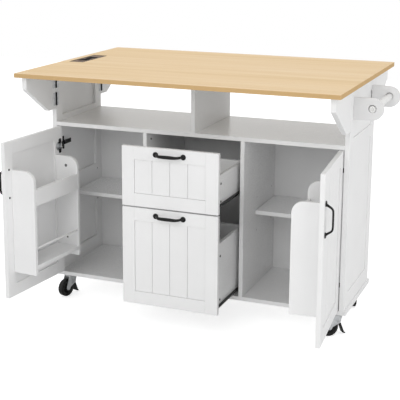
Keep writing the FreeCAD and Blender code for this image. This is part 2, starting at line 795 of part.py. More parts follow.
def hinge_cup(name, height, hand):
    """The door's half of a concealed hinge: cup, flange and two curved links on studs."""
    x, y = f"({DOOR_EDGE} + cup_inset)", DOOR_BACK
    deep = f"({y} - cup_depth + cup_fit)"
    beside = "(arm_height / 2 + link_clearance)"
    body = rod(f"{name}_body", "y", (deep, y), (x, height), "cup_radius - cup_fit")
    flange_x = (f"{DOOR_EDGE} + flange_inset", f"{DOOR_EDGE} + flange_inset + flange_width")
    flange = block(f"{name}_flange", flange_x, (y, f"{y} + flange_thickness"),
                   (f"{height} - flange_height / 2", f"{height} + flange_height / 2"))
    hollow = rod(f"{name}_hollow", "y", (f"{deep} + cup_wall", f"{y} + overrun"), (x, height),
                 "cup_radius - cup_fit - cup_wall")
    slot = block(f"{name}_slot", (f"{DOOR_EDGE} - overrun", x), (y, f"{y} + overrun"),
                 (f"{height} - {beside} - link_cheek - link_slot_room",
                  f"{height} + {beside} + link_cheek + link_slot_room"))
    pieces = [cut(f"{name}_shell", fuse(f"{name}_solid", body, flange), hollow, slot)]
    middle = size("arm_inner_radius") + size("link_thickness") / 2
    tip = math.radians(size("link_tip_angle"))
    for end, low, high in (("low", f"-{beside} - link_cheek", f"-{beside}"),
                           ("high", beside, f"{beside} + link_cheek")):
        strip = arc_strip(f"{name}_{end}", "link_thickness", "link_tip_angle", "link_end_angle", "link_cheek")
        pieces.append(place(strip, z=f"{height} + {low}"))
        span = (f"{height} + {low}", f"{height} + {high}")
        outer = f"{height} - cup_radius + stud_inset" if end == "low" else f"{height} + cup_radius - stud_inset"
        stud_span = (outer, span[1]) if end == "low" else (span[0], outer)
        stud_x = f"arm_inner_radius * {math.cos(tip)} + link_thickness / 2"
        stud_y = f"arm_inner_radius * {math.sin(tip)} + link_thickness / 2"
        pieces.append(rod(f"{name}_{end}_stud", "z", stud_span, (stud_x, stud_y), "link_pin_radius"))
    return mirror_x(name, fuse(f"{name}_whole", *pieces), hand)


def hinge_arm(name, height, hand):
    """The fixed half of a concealed hinge: plate on the side, arm and curved nose."""
    face = "(-pivot_inset)"
    nose = arc_strip(f"{name}_nose", "arm_thickness", "arm_tip_angle", "arm_root_angle", "arm_height")
    place(nose, z=f"{height} - arm_height / 2")
    start = "arm_inner_radius"
    end = "arm_inner_radius + arm_length"
    arm_z = (f"{height} - arm_height / 2", f"{height} + arm_height / 2")
    beam = block(f"{name}_beam", (f"{face} + plate_thickness", f"{face} + plate_thickness + arm_thickness"),
                 (start, end), arm_z)
    inner_z = (f"{arm_z[0]} + saddle_inset", f"{arm_z[1]} - saddle_inset")
    base = block(f"{name}_base", (face, f"{face} + plate_thickness"), ("plate_setback", f"{end} - arm_width"),
                 inner_z)
    saddle = block(f"{name}_saddle", (face, f"{face} + plate_thickness + arm_thickness + saddle_rise"),
                   ("plate_setback", "plate_setback + saddle_length"), inner_z)
    wings = block(f"{name}_wings", (face, f"{face} + plate_thickness"),
                  ("plate_setback", "plate_setback + plate_depth"),
                  (f"{height} - plate_height / 2", f"{height} + plate_height / 2"))
    whole = fuse(f"{name}_whole", nose, beam, base, saddle, wings)
    placed = mirror_x(name, whole, hand)
    sign = "-" if hand > 0 else ""
    return place(placed, f"{sign}{PIVOT_X}", PIVOT_Y)


def rack_side(name, inset, hand):
    """One upright board of a door rack, with its outer top corner rounded."""
    inner, outer = DOOR_BACK, f"{DOOR_BACK} + rack_depth"
    height = f"{RACK_HIGH} - {RACK_LOW}"
    corners = [(inner, "0"), (outer, "0"), (outer, height), (inner, height)]
    board = padded(name, "YZ_Plane", corners, "rack_board", backwards=(hand < 0))

    def is_outer_top(edge):
        box = edge.BoundBox
        return runs_along(edge, "x") and box.ZMin > size("rack_board") and box.YMin > size("rack_depth")

    rounded(board, "rack_rounding", is_outer_top)
    sign = "" if hand > 0 else "-"
    return place(board, f"{sign}({DOOR_EDGE} + {inset})", z=RACK_LOW)


def rack_trays(name, hand):
    """Two trays between the rack's sides: a board with a deep rail, and one with a rod."""
    x = (f"{DOOR_EDGE} + rack_inset + rack_board", f"{DOOR_EDGE} + {DOOR_WIDTH} - rack_free_inset - rack_board")
    back, front = DOOR_BACK, f"{DOOR_BACK} + rack_depth"
    upper = f"({RACK_LOW} + upper_tray_rise)"
    lower = f"({RACK_LOW} + lower_tray_rise)"
    shelf = block(f"{name}_upper", x, (back, f"{front} - tray_board"), (upper, f"{upper} + tray_board"), hand)
    rail = block(f"{name}_rail", x, (f"{front} - tray_board", front), (upper, f"{upper} + tray_rail_height"), hand)
    base = block(f"{name}_lower", x, (back, front), (lower, f"{lower} + lower_tray_board"), hand)
    guard = rod(f"{name}_rod", "x", x, (f"{front} - tray_board / 2", f"{RACK_LOW} + rod_rise"), "rod_radius", hand)
    return group(name, shelf, rail, base, guard)


def make_doors(handle):
    arms = []
    for side, hand in SIDES.items():
        door_x = (DOOR_EDGE, f"{DOOR_EDGE} + {DOOR_WIDTH}")
        frame, panel = framed_front(f"{side}_door", door_x, DOOR_FRONT, (FRONT_LOW, FRONT_HIGH), hand)
        bores = []
        cups = []
        for level, height in HINGE_HEIGHTS.items():
            bores.append(rod(f"{side}_{level}_bore", "y",
                             (f"{DOOR_BACK} - cup_depth", f"{DOOR_BACK} + overrun"),
                             (f"{DOOR_EDGE} + cup_inset", height), "cup_radius", hand))
            cups.append(hinge_cup(f"{side}_{level}_cup", height, hand))
            arms.append(hinge_arm(f"{side}_{level}_arm", height, hand))
        pieces = {
            "door_frame": cut(f"{side}_door_bored", frame, *bores),
            "door_panel": panel,
            "hinge_cups": group(f"{side}_cups", *cups),
            "rack_sides": group(f"{side}_rack_boards",
                                rack_side(f"{side}_rack_near", "rack_inset", hand),
                                rack_side(f"{side}_rack_far", f"{DOOR_WIDTH} - rack_free_inset - rack_board", hand)),
            "rack_trays": rack_trays(f"{side}_trays", hand),
        }
        sign = "-" if hand > 0 else ""
        opened = f"{sign}{side}_door_angle"
        for kind, piece in pieces.items():
            subpart(place(piece, f"{sign}{PIVOT_X}", PIVOT_Y, "0", opened), f"{side}_{kind}")
        make_door_handle(side, hand, handle)
    subpart(group("hinge_arms", *arms), "door_hinge_arms")


def make_door_handle(side, hand, shape):
    """The bow handle upright on the free stile, turned with the open door."""
    upright = doc.addObject("Part::Feature", f"{side}_door_bow")
    upright.Shape = shape
    bow = group(f"{side}_door_bow_upright", upright)
    place(upright, "0", "0", "0", "90", (0, 1, 0))
    sign = "" if hand > 0 else "-"
    place(upright, f"{sign}({DOOR_EDGE} + {DOOR_WIDTH} - front_rail / 2)", DOOR_FRONT, f"{FRONT_HIGH} - door_handle_drop",
          "90", (0, 1, 0))
    side_sign = "-" if hand > 0 else ""
    place(bow, f"{side_sign}{PIVOT_X}", PIVOT_Y, "0", f"{side_sign}{side}_door_angle")
    subpart(bow, f"{side}_door_handle")


# Swinging brackets under the worktop, in a frame at the hinge pin

def bracket_board(corner, hand):
    """The swinging board: square at the hinge, its nose cut away on a slope."""
    gap = "bracket_gap / 2"
    outline = [
        (f"-{gap}", f"{BRACKET_TOP} - bracket_depth"),
        (f"-{gap} - bracket_foot", f"{BRACKET_TOP} - bracket_depth"),
        (f"-{gap} - bracket_length", f"{BRACKET_TOP} - bracket_nose"),
        (f"-{gap} - bracket_length", BRACKET_TOP),
        (f"-{gap}", BRACKET_TOP),
    ]
    board = padded(f"{corner}_board", "YZ_Plane", outline, "side_thickness", backwards=(hand < 0))

    def is_nose(edge):
        return runs_along(edge, "x") and edge.BoundBox.YMax < -size("bracket_foot")

    rounded(board, "bracket_rounding", is_nose)
    near = "(butt_axis_inset + side_thickness)"
    return place(board, f"-{near}" if hand > 0 else near)


def butt_hinge(name, level, hand):
    """One butt hinge about its pin: the swinging leaf, then the fixed leaf with the pin."""
    low = f"({BRACKET_TOP} - bracket_depth - butt_height + {level})"
    z = (low, f"{low} + butt_height")
    middle = (f"{low} + butt_height / 3 + butt_knuckle_gap", f"{low} + 2 * butt_height / 3 - butt_knuckle_gap")
    bottom = (low, f"{low} + butt_height / 3")
    top = (f"{low} + 2 * butt_height / 3", f"{low} + butt_height")
    sheet_x = ("-butt_axis_inset", "-butt_axis_inset + butt_sheet")
    clear = "(butt_barrel_radius + butt_knuckle_gap)"
    far = "(bracket_gap / 2 + butt_leaf)"
    axis = ("0", "0")
    swinging = [
        block(f"{name}_swinging_leaf", sheet_x, (f"-{far}", f"-{clear}"), z, hand),
        block(f"{name}_tongue", sheet_x, (f"-{clear}", "0"), middle, hand),
        rod(f"{name}_barrel", "z", middle, axis, "butt_barrel_radius"),
    ]
    fixed = [
        block(f"{name}_fixed_leaf", sheet_x, (clear, far), z, hand),
        rod(f"{name}_pin", "z", z, axis, "butt_pin_radius"),
    ]
    for end, span in (("bottom", bottom), ("top", top)):
        fixed.append(block(f"{name}_{end}_tongue", sheet_x, ("0", clear), span, hand))
        fixed.append(rod(f"{name}_{end}_barrel", "z", span, axis, "butt_barrel_radius"))
    bore = rod(f"{name}_bore", "z", z, axis, "butt_bore_radius")
    swing = cut(f"{name}_swing", fuse(f"{name}_swing_solid", *swinging), bore)
    return swing, fuse(f"{name}_fixed", *fixed)


def make_brackets():
    leaves = []
    for corner, (hand, facing) in CORNERS.items():
        pieces = [bracket_board(corner, hand * facing)]
        for level in ("butt_low", "butt_high"):
            swing, fixed = butt_hinge(f"{corner}_{level}", level, hand * facing)
            pieces.append(swing)
            leaves.append(place_corner(fixed, hand, facing))
        subpart(place_corner(group(f"{corner}_swinging", *pieces), hand, facing), f"{corner}_bracket")
    subpart(group("fixed_leaves", *leaves), "bracket_hinge_leaves")


def place_corner(piece, hand, facing):
    """Put a piece modelled at a front hinge pin at its corner; rear ones are turned half round."""
    x = f"-{BUTT_X}" if hand > 0 else BUTT_X
    y = f"-{BUTT_Y}" if facing > 0 else BUTT_Y
    return place(piece, x, y, "0", "0" if facing > 0 else "180")


# Casters, in a frame on the swivel axis with the wheel trailing towards -Y

def wheel_body(name):
    half, bore = "wheel_width / 2", "axle_bore_radius"
    outline = [
        (f"-{half}", bore),
        (f"-{half}", "wheel_hub_radius"),
        (f"-{half} + wheel_dish", "wheel_hub_radius + wheel_dish / 2"),
        (f"-{half} + wheel_dish", "wheel_rim_radius - wheel_dish / 2"),
        (f"-{half}", "wheel_rim_radius"),
        (f"-{half}", "wheel_radius - wheel_rounding"),
        (f"-{half} + wheel_rounding", "wheel_radius"),
        (f"{half} - wheel_rounding", "wheel_radius"),
        (half, "wheel_radius - wheel_rounding"),
        (half, "wheel_rim_radius"),
        (f"{half} - wheel_dish", "wheel_rim_radius - wheel_dish / 2"),
        (f"{half} - wheel_dish", "wheel_hub_radius + wheel_dish / 2"),
        (half, "wheel_hub_radius"),
        (half, bore),
    ]
    return revolved(name, "XZ_Plane", outline)


def fork_piece(name, braked):
    """Two pressed cheeks, the top with its bearing cup, and the axle through them."""
    axle = ("-caster_trail", "wheel_radius")
    cheek = [
        ("fork_half_length", FORK_TOP),
        ("-fork_half_length", FORK_TOP),
        ("-caster_trail - fork_boss_radius", "wheel_radius + fork_boss_radius / 2"),
        ("-caster_trail", "wheel_radius - fork_boss_radius / 2"),
        ("-caster_trail + fork_boss_radius", "wheel_radius"),
        ("brake_pivot_y + brake_eye_radius", "fork_ear_height"),
    ]
    pieces = []
    for side, hand in SIDES.items():
        plate = padded(f"{name}_cheek_{side}", "YZ_Plane", cheek, "fork_cheek", backwards=(hand > 0))
        place(plate, "-fork_inner_half" if hand > 0 else "fork_inner_half")
        boss = rod(f"{name}_boss_{side}", "x", ("-fork_inner_half - fork_cheek", "-fork_inner_half"), axle,
                   "fork_boss_radius", hand)
        pieces.extend([plate, boss])
    across = ("-(fork_inner_half + fork_cheek)", "(fork_inner_half + fork_cheek)")
    crown = block(f"{name}_crown", across, ("-fork_half_length", "fork_half_length"),
                  (f"{FORK_TOP} - fork_sheet", FORK_TOP))
    cup = rod(f"{name}_cup", "z", (f"{FORK_TOP} - fork_sheet", f"{FORK_TOP} + lower_race_height"), ("0", "0"),
              "lower_race_radius")
    bore = rod(f"{name}_bore", "z", (f"{FORK_TOP} - fork_sheet - overrun", f"{FORK_TOP} + lower_race_height + overrun"),
               ("0", "0"), "kingpin_bore_radius")
    pieces.append(rod(f"{name}_axle", "x", across, axle, "axle_radius"))
    if braked:
        pieces.append(rod(f"{name}_brake_pin", "x", across, ("brake_pivot_y", "brake_pivot_z"), "brake_pin_radius"))
    return cut(f"{name}_fork", fuse(f"{name}_solid", crown, cup, *pieces), bore)


def brake_piece(name):
    """A pressed lever on the fork's pin, with a shoe that meets the tread."""
    y, z = "brake_pivot_y", "brake_pivot_z"
    tip_y, tip_z = f"{y} + brake_reach", f"{z} - brake_fall"
    outline = [
        (y, f"{z} + brake_sheet"),
        (f"{y} + brake_sheet", f"{z} + brake_sheet"),
        (f"{tip_y} + brake_sheet", tip_z),
        (f"{tip_y} + brake_toe", f"{tip_z} - brake_sheet"),
        (f"{tip_y} + brake_toe", f"{tip_z} - 2 * brake_sheet"),
        (f"{tip_y} - brake_sheet", f"{tip_z} - brake_sheet"),
        (y, f"{z} - brake_sheet"),
    ]
    lever = padded(f"{name}_strip", "YZ_Plane", outline, "brake_width", midplane=True)
    width = ("-brake_width / 2", "brake_width / 2")
    eye = rod(f"{name}_eye", "x", width, (y, z), "brake_eye_radius")
    shoe_y = f"{y} + brake_reach * brake_shoe_fall / brake_fall"
    shoe = block(f"{name}_shoe", width, (f"{shoe_y} - brake_shoe", f"{shoe_y} + brake_sheet / 2"),
                 (f"{z} - brake_shoe_fall - brake_shoe_height / 2", f"{z} - brake_shoe_fall + brake_shoe_height / 2"))
    bore = rod(f"{name}_bore", "x", ("-brake_width", "brake_width"), (y, z), "brake_bore_radius")
    return cut(name, fuse(f"{name}_solid", lever, eye, shoe), bore)


def make_casters():
    plates = []
    for corner, (hand, facing) in CORNERS.items():
        x = f"-{CASTER_X}" if hand > 0 else CASTER_X
        y = f"-{CASTER_Y}" if facing > 0 else CASTER_Y
        half = "mount_plate / 2"
        under_plate = "caster_height - mount_plate_thickness"
        under_race = f"{under_plate} - upper_race_height"
        sheet_piece = block(f"{corner}_plate", (f"-{half}", half), (f"-{half}", half), (under_plate, "caster_height"))
        race = rod(f"{corner}_race", "z", (under_race, under_plate), ("0", "0"), "upper_race_radius")
        head_top = f"{FORK_TOP} - fork_sheet - race_gap"
        pin = rod(f"{corner}_kingpin", "z", (f"{head_top} - kingpin_head_height", under_race), ("0", "0"),
                  "kingpin_radius")
        head = rod(f"{corner}_rivet", "z", (f"{head_top} - kingpin_head_height", head_top), ("0", "0"),
                   "kingpin_head_radius")
        plates.append(place(fuse(f"{corner}_mount", sheet_piece, race, pin, head), x, y))
        turn = f"{corner}_turn"
        braked = facing > 0
        subpart(place(fork_piece(f"{corner}_caster", braked), x, y, "0", turn), f"{corner}_caster_fork")
        wheel = group(f"{corner}_wheel_group", place(wheel_body(f"{corner}_tyre"), "0", "-caster_trail", "wheel_radius"))
        subpart(place(wheel, x, y, "0", turn), f"{corner}_wheel")
        if braked:
            subpart(place(brake_piece(f"{corner}_brake"), x, y, "0", turn), f"{corner}_brake_lever")
    subpart(group("mounts", *plates), "caster_plates")


# Build, test and write

def check():
    doc.recompute()
    for item in doc.Objects:
        if "Invalid" in item.State or "Error" in item.State:
            raise RuntimeError(f"{item.Name} failed: {item.State}")
    for piece in subparts:
        shape = piece.Shape
        if shape.isNull() or not shape.isValid() or not shape.Solids:
            raise RuntimeError(f"{piece.Label} has no valid solid")


def write():
    os.makedirs("parts", exist_ok=True)
    for piece in subparts:
        piece.Shape.exportStep(f"parts/{piece.Label}.step")
    print(len(subparts), "sub-parts written")


sheet = fill_sheet()
make_worktop()
make_power_unit()
for side_name, side_hand in SIDES.items():
    make_end(side_name, side_hand)
make_dividers()
make_boards()
make_shelves()
make_towel_rack()
bow = handle_shape()
make_drawers(bow)
make_doors(bow)
make_brackets()
make_casters()
check()
write()
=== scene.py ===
import math

import bmesh
import bpy
from mathutils import Matrix, Vector


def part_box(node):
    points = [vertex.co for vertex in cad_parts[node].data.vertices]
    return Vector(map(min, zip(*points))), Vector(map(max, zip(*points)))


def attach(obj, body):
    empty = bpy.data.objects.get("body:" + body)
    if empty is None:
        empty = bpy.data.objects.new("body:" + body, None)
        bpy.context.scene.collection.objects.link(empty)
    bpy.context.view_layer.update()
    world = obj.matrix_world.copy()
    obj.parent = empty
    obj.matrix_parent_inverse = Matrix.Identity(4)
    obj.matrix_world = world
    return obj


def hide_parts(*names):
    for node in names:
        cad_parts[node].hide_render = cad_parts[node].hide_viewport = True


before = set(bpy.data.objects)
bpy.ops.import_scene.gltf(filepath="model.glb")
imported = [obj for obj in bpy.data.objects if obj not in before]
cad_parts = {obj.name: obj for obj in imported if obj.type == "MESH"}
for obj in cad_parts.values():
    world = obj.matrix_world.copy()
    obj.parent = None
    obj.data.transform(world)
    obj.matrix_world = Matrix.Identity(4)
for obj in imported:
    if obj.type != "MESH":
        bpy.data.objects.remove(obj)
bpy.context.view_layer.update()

# Rolling kitchen island, modelled in millimetres and written in metres.
# Origin on the floor under the cabinet's centre, +X to the right, +Y to the back.
# Pieces are drawn on the left and at the front, and mirrored or turned to where the others stand.
MM = 0.001
HANDS = {"left": 1, "right": -1}
CORNERS = {"front_left": (1, 1), "front_right": (-1, 1), "rear_left": (1, -1), "rear_right": (-1, -1)}
BOTH_WAYS = (-1, 1)
OVERRUN = 1

# Cabinet
HALF, INSIDE, FRONT, BACK = 580, 562, -187.5, 187.5
WORKTOP_TOP, UNDER_TOP, FLOOR_UNDER = 925, 909, 94
DIVIDER_OUT, BAY_HALF = 199, 184
PIN_SPOTS = [(y, z) for z in (324.5, 452.5) for y in (-35, 146)]
PIN_BORE, PIN_BORE_DEPTH, PIN_SIDES = 2.5, 9, 16
TOWEL_X, TOWEL_Z = 644.5, 836.5
TOWEL_BOARDS = ((-157, -142), (128, 143))

# Drawers and doors; a door's own coordinates start at its pivot
FRONT_THICKNESS, RAIL = 16, 47
PANEL_SETBACK, BEAD_FLOOR, PANEL_BACK = 4, 7.5, 10
PLANKS, BEAD_GAP, REVEAL = 4, 1.3, 0.7
DRAWER_TRAVEL, DRAWER_HALF = -216, 182
FRONTS = {"upper": (475.5, 692), "lower": (111, 470.5)}
BOXES = {"upper": (503, 606), "lower": (135, 360)}
BOX_HALF, BOX_WALL, BOX_LENGTH = 171, 12, 280
PIVOT_X, PIVOT_Y = 557.3, -186.5
DOOR_TURN = {"left": -95.4, "right": 94.9}
DOOR_EDGE, DOOR_WIDTH, DOOR_FRONT, DOOR_BACK = -2.7, 359, -1, 15
DOOR_LOW, DOOR_HIGH = 111, 692
HANDLE_X, HANDLE_Z, HANDLE_HALF = DOOR_EDGE + DOOR_WIDTH - RAIL / 2, DOOR_HIGH - 153, 52
HINGE_HEIGHTS, CUP_X = (200, 618.5), DOOR_EDGE + 22
RACK_INSIDE, RACK_BOARD = (41.3, 305.3), 14

# Worktop brackets, from their hinge pins
BUTT_X, BUTT_Y = 559, 188.5
BUTT_LOWS, BUTT_HEIGHT = (772.6, 839.6), 50
LEAF = (-3, -1.5)
PIN_RADIUS, KNUCKLE_RADIUS, KNUCKLE_SIDES = 1.7, 2.7, 20
BRACKET_TOP = 908.6

# Casters, from their swivel axes; AXLE and BRAKE_PIVOT are (y, z)
CASTER_X, CASTER_Y, WHEEL_RADIUS = 541, 140, 34
CASTER_TURN = {"front_left": -16, "front_right": -52, "rear_left": 160, "rear_right": 205}
AXLE, BRAKE_PIVOT = (-28, WHEEL_RADIUS), (7, 57)
FORK_TOP, FORK_INNER, FORK_OUTER = 81.5, 13, 15.5

# Power unit
POWER_X, POWER_Y, POWER_HALF_X, POWER_HALF_Y = -540, 41, 30, 106.5
SOCKETS, CHARGER_Y, PORT_OFFSET = (2, 74), -32.5, 7


# Camera, room and lamps

def added(name, data):
    """A new object in the scene."""
    holder = bpy.data.objects.new(name, data)
    bpy.context.scene.collection.objects.link(holder)
    return holder


def view_photo():
    """The photograph's angle: seen from 22.6 degrees to the right, looking 12.4 degrees down."""
    lens = bpy.data.cameras.new("photo_camera")
    lens.sensor_width = 36
    lens.lens = 93.674
    lens.shift_x = 0.05
    lens.shift_y = -0.13
    camera = added("photo_camera", lens)
    camera.location = (1.38027, -3.62048, 1.46864)
    camera.rotation_euler = [math.radians(angle) for angle in (77.5753, -0.1239, 22.644)]
    bpy.context.scene.camera = camera


def lamp(name, place, target, width, power):
    """A soft square lamp that faces its target; metres and watts."""
    light = bpy.data.lights.new(name, "AREA")
    light.size = width
    light.energy = power
    holder = added(name, light)
    holder.location = place
    holder.rotation_euler = (Vector(target) - Vector(place)).to_track_quat("-Z", "Y").to_euler()


def node(tree, kind, inputs=None, **settings):
    """Adds a node; an input is given by name or number, as a value, an output or a list of outputs."""
    made = tree.nodes.new(kind)
    for name, value in settings.items():
        setattr(made, name, value)
    for name, value in (inputs or {}).items():
        several = isinstance(value, list) and isinstance(value[0], bpy.types.NodeSocket)
        for source in value if several else [value]:
            if isinstance(source, bpy.types.NodeSocket):
                tree.links.new(source, made.inputs[name])
            else:
                made.inputs[name].default_value = source
    return made


def output(tree, kind, inputs=None, **settings):
    """The first output of a new node."""
    return node(tree, kind, inputs, **settings).outputs[0]


def maths(operation, first, second):
    """A sum, product or other operation on an output and a value or second output."""
    return output(first.id_data, "ShaderNodeMath", {0: first, 1: second}, operation=operation)


def linear(code):
    """An sRGB hex colour as linear RGBA."""
    parts = [int(code[start:start + 2], 16) / 255 for start in (1, 3, 5)]
    return [p / 12.92 if p <= 0.04045 else ((p + 0.055) / 1.055) ** 2.4 for p in parts] + [1]


def light_room():
    """A white room that the camera, gloss and glass see at full white, and softer light on the object."""
    world = bpy.data.worlds.new("studio")
    world.use_nodes = True
    tree = world.node_tree
    tree.nodes.clear()
    rays = node(tree, "ShaderNodeLightPath").outputs
    seen = maths("MAXIMUM", rays["Is Camera Ray"], rays["Is Glossy Ray"])
    seen = maths("MAXIMUM", seen, rays["Is Transmission Ray"])
    soft, white = [output(tree, "ShaderNodeBackground", {"Color": linear("#FFFFFF"), "Strength": strength})
                   for strength in (0.66, 1.0)]
    both = output(tree, "ShaderNodeMixShader", {0: seen, 1: soft, 2: white})
    node(tree, "ShaderNodeOutputWorld", {"Surface": both})
    bpy.context.scene.world = world
    bpy.context.scene.view_settings.view_transform = "Standard"
    lamp("front_softbox", (0, -4.2, 2.8), (0, 0, 0.4), 2.5, 44)
    lamp("right_softbox", (3.4, -1.4, 1.6), (0.3, 0, 0.5), 2.0, 22)
    lamp("top_softbox", (-0.8, 0.9, 3.4), (-0.3, 0, 0.9), 2.5, 10)
    lamp("back_softbox", (-1.2, 4.2, 1.9), (0, 0, 0.5), 2.5, 5.5)


view_photo()
light_room()


# Finishes, with pattern sizes in millimetres

def shader_of(name, colour, roughness, metallic=0.0, specular=0.5):
    """A material with one shader whose constants sit on its own sockets; gives its tree and shader too."""
    material = bpy.data.materials.new(name)
    material.use_nodes = True
    tree = material.node_tree
    tree.nodes.clear()
    shader = node(tree, "ShaderNodeBsdfPrincipled", {
        "Base Color": linear(colour), "Roughness": roughness, "Metallic": metallic,
        "Specular IOR Level": specular})
    node(tree, "ShaderNodeOutputMaterial", {"Surface": shader.outputs[0]})
    return material, tree, shader


def noise(tree, sizes_mm, detail=2.0, roughness=0.5, distortion=0.0):
    """Noise in object coordinates whose grains are that many millimetres along each axis."""
    place = node(tree, "ShaderNodeTexCoord").outputs["Object"]
    scale = [1 / (size * MM) for size in sizes_mm]
    scaled = output(tree, "ShaderNodeMapping", {"Vector": place, "Scale": scale})
    return output(tree, "ShaderNodeTexNoise", {
        "Vector": scaled, "Scale": 1.0, "Detail": detail, "Roughness": roughness, "Distortion": distortion})


def ramped(value, stops):
    """A colour ramp through (place, colour) stops."""
    ramp = node(value.id_data, "ShaderNodeValToRGB", {0: value})
    points = ramp.color_ramp.elements
    while len(points) < len(stops):
        points.new(0.5)
    for point, (place, colour) in zip(points, stops):
        point.position = place
        point.color = linear(colour)
    return ramp.outputs[0]


def between(value, low, high, from_low=0.0, from_high=1.0):
    """A value mapped from one span to another, and held inside it."""
    return output(value.id_data, "ShaderNodeMapRange", {
        "Value": value, "From Min": from_low, "From Max": from_high, "To Min": low, "To Max": high})


def mixed(factor, first, second):
    """Two colours mixed by an output; each is a hex code or an output."""
    first, second = [linear(side) if isinstance(side, str) else side for side in (first, second)]
    mix = node(factor.id_data, "ShaderNodeMix", {0: factor, 6: first, 7: second}, data_type="RGBA")
    return mix.outputs[2]


def driven(shader, roughness, height, depth_mm, colour=None):
    """Drives a shader's roughness and colour, and gives it bump of a real depth in millimetres."""
    tree = shader.id_data
    relief = output(tree, "ShaderNodeBump", {"Height": height, "Distance": depth_mm * MM, "Strength": 1.0})
    for name, source in (("Roughness", roughness), ("Normal", relief), ("Base Color", colour)):
        if source:
            tree.links.new(source, shader.inputs[name])


def oak_board():
    """Oak-print melamine on particle board: long pale growth bands, darker hairlines and short pores."""
    material, tree, shader = shader_of("oak_melamine_board", "#E6CBA2", 0.6, specular=0.06)
    bands = noise(tree, (1400, 46, 46), detail=3, roughness=0.55, distortion=0.6)
    base = ramped(bands, [(0.28, "#EDCFA0"), (0.5, "#F4D8AE"), (0.74, "#F8DFBA")])
    # Real hairlines are 0.8 mm apart; these are 3 mm apart, to show at this distance.
    hairs = between(noise(tree, (420, 3.2, 3.2), detail=4, roughness=0.65), 0.0, 1.0, 0.5, 0.78)
    veined = mixed(between(hairs, 0.0, 0.3), base, "#D2A66E")
    # Pores are dashes 8 to 20 mm long; drawn 1.4 mm wide instead of 0.3 mm.
    pores = between(noise(tree, (17, 1.4, 1.4), roughness=0.6), 0.0, 1.0, 0.62, 0.72)
    pored = mixed(between(pores, 0.0, 0.2), veined, "#B98C56")
    # The edge band is darker than the face, and the underside has a plain backing film.
    normal = node(tree, "ShaderNodeNewGeometry").outputs["Normal"]
    upright = node(tree, "ShaderNodeSeparateXYZ", {0: normal}).outputs["Z"]
    edge = between(upright, 1.0, 0.0, 0.35, 0.8)
    banded = mixed(between(edge, 0.0, 0.8), pored, "#C39F6A")
    backed = mixed(between(upright, 1.0, 0.0, -0.8, -0.35), banded, "#D8D2C8")
    driven(shader, between(hairs, 0.56, 0.66), maths("ADD", hairs, pores), -0.05, backed)
    return material


def white_board(name, colour, roughness, grain_mm, depth_mm):
    """White film or melamine: nearly even, with a fine orange peel and a faint drift of tone."""
    material, tree, shader = shader_of(name, colour, roughness, specular=0.4)
    drift = noise(tree, (180, 180, 180))
    toned = mixed(between(drift, 0.0, 0.35, 0.35, 0.7), colour, "#E9E9E9")
    peel = noise(tree, (grain_mm,) * 3, detail=3, roughness=0.6)
    driven(shader, between(peel, roughness - 0.05, roughness + 0.07), peel, depth_mm, toned)
    return material


def black_coat(name, colour, roughness, grain_mm, depth_mm, metallic, specular):
    """Black powder coat or blackened steel: an even, slightly gritty skin, a little paler in places."""
    material, tree, shader = shader_of(name, colour, roughness, metallic, specular)
    grit = noise(tree, (grain_mm,) * 3, detail=3, roughness=0.6)
    worn = between(noise(tree, (38, 38, 38), detail=4, roughness=0.6), 0.0, 0.5, 0.55, 0.75)
    driven(shader, between(grit, roughness - 0.08, roughness + 0.12), grit, depth_mm,
           mixed(worn, colour, "#1E1E1F"))
    return material


def plated_steel():
    """Zinc plate on pressed steel: a soft grey metal with faint clouding and rolling marks."""
    material, tree, shader = shader_of("zinc_plated_steel", "#C4C6C8", 0.4, metallic=0.8)
    clouds = noise(tree, (14, 14, 14), detail=4, roughness=0.6)
    tone = ramped(clouds, [(0.3, "#B2B4B6"), (0.55, "#CBCDCF"), (0.75, "#DDDEDF")])
    marks = noise(tree, (22, 1.2, 1.2))
    driven(shader, between(clouds, 0.26, 0.46, 0.3, 0.7), marks, 0.02, tone)
    return material


def moulded(name, colour, roughness, grain_mm, depth_mm, specular):
    """Moulded plastic: a fine spark-eroded texture."""
    material, tree, shader = shader_of(name, colour, roughness, specular=specular)
    grain = noise(tree, (grain_mm,) * 3)
    driven(shader, between(grain, roughness - 0.06, roughness + 0.08), grain, depth_mm)
    return material


# Each look is a slot and its material.
oak = "worktop_oak", oak_board()
white_film = "cabinet_white", white_board("white_film_on_mdf", "#F3F3F3", 0.36, 2.4, 0.03)
melamine = "cabinet_white", white_board("white_melamine_board", "#F5F5F5", 0.26, 1.6, 0.01)
# The towel boards get a greyer white than the cabinet's film: painted shade standing in for the shade on
# their faces.
towel_painted_shade_white = "cabinet_white", white_board("towel_white_with_painted_shade", "#E3E3E3", 0.4, 3.0, 0.03)
white_lacquer = "cabinet_white", white_board("white_lacquered_beech", "#EEEEEC", 0.3, 5.0, 0.03)
black_powder = "black_metal", black_coat("black_powder_coated_zinc", "#0B0B0B", 0.42, 1.1, 0.03, 0.0, 0.3)
black_steel = "black_metal", black_coat("black_plated_steel", "#161617", 0.36, 2.0, 0.01, 0.5, 0.4)
hinge_zinc = "black_metal", plated_steel()
caster_zinc = "caster_grey", hinge_zinc[1]
wheel_rubber = "caster_rubber", moulded("black_thermoplastic_rubber", "#080808", 0.5, 1.2, 0.04, 0.35)
wheel_core = "caster_rubber", moulded("black_polypropylene_wheel", "#0C0C0C", 0.42, 0.9, 0.02, 0.35)
pedal_plastic = "black_metal", wheel_core[1]
black_abs = "power_black", moulded("black_moulded_abs", "#0B0909", 0.75, 0.8, 0.01, 0.05)
grey_abs = "power_black", moulded("grey_satin_abs", "#7C6A5C", 0.6, 0.8, 0.01, 0.15)
dark_inside = "power_black", moulded("dark_socket_inside", "#030303", 0.7, 0.8, 0.01, 0.1)
cam_plastic = "black_metal", moulded("grey_plastic_cam_cap", "#6A6A6C", 0.5, 0.8, 0.01, 0.3)
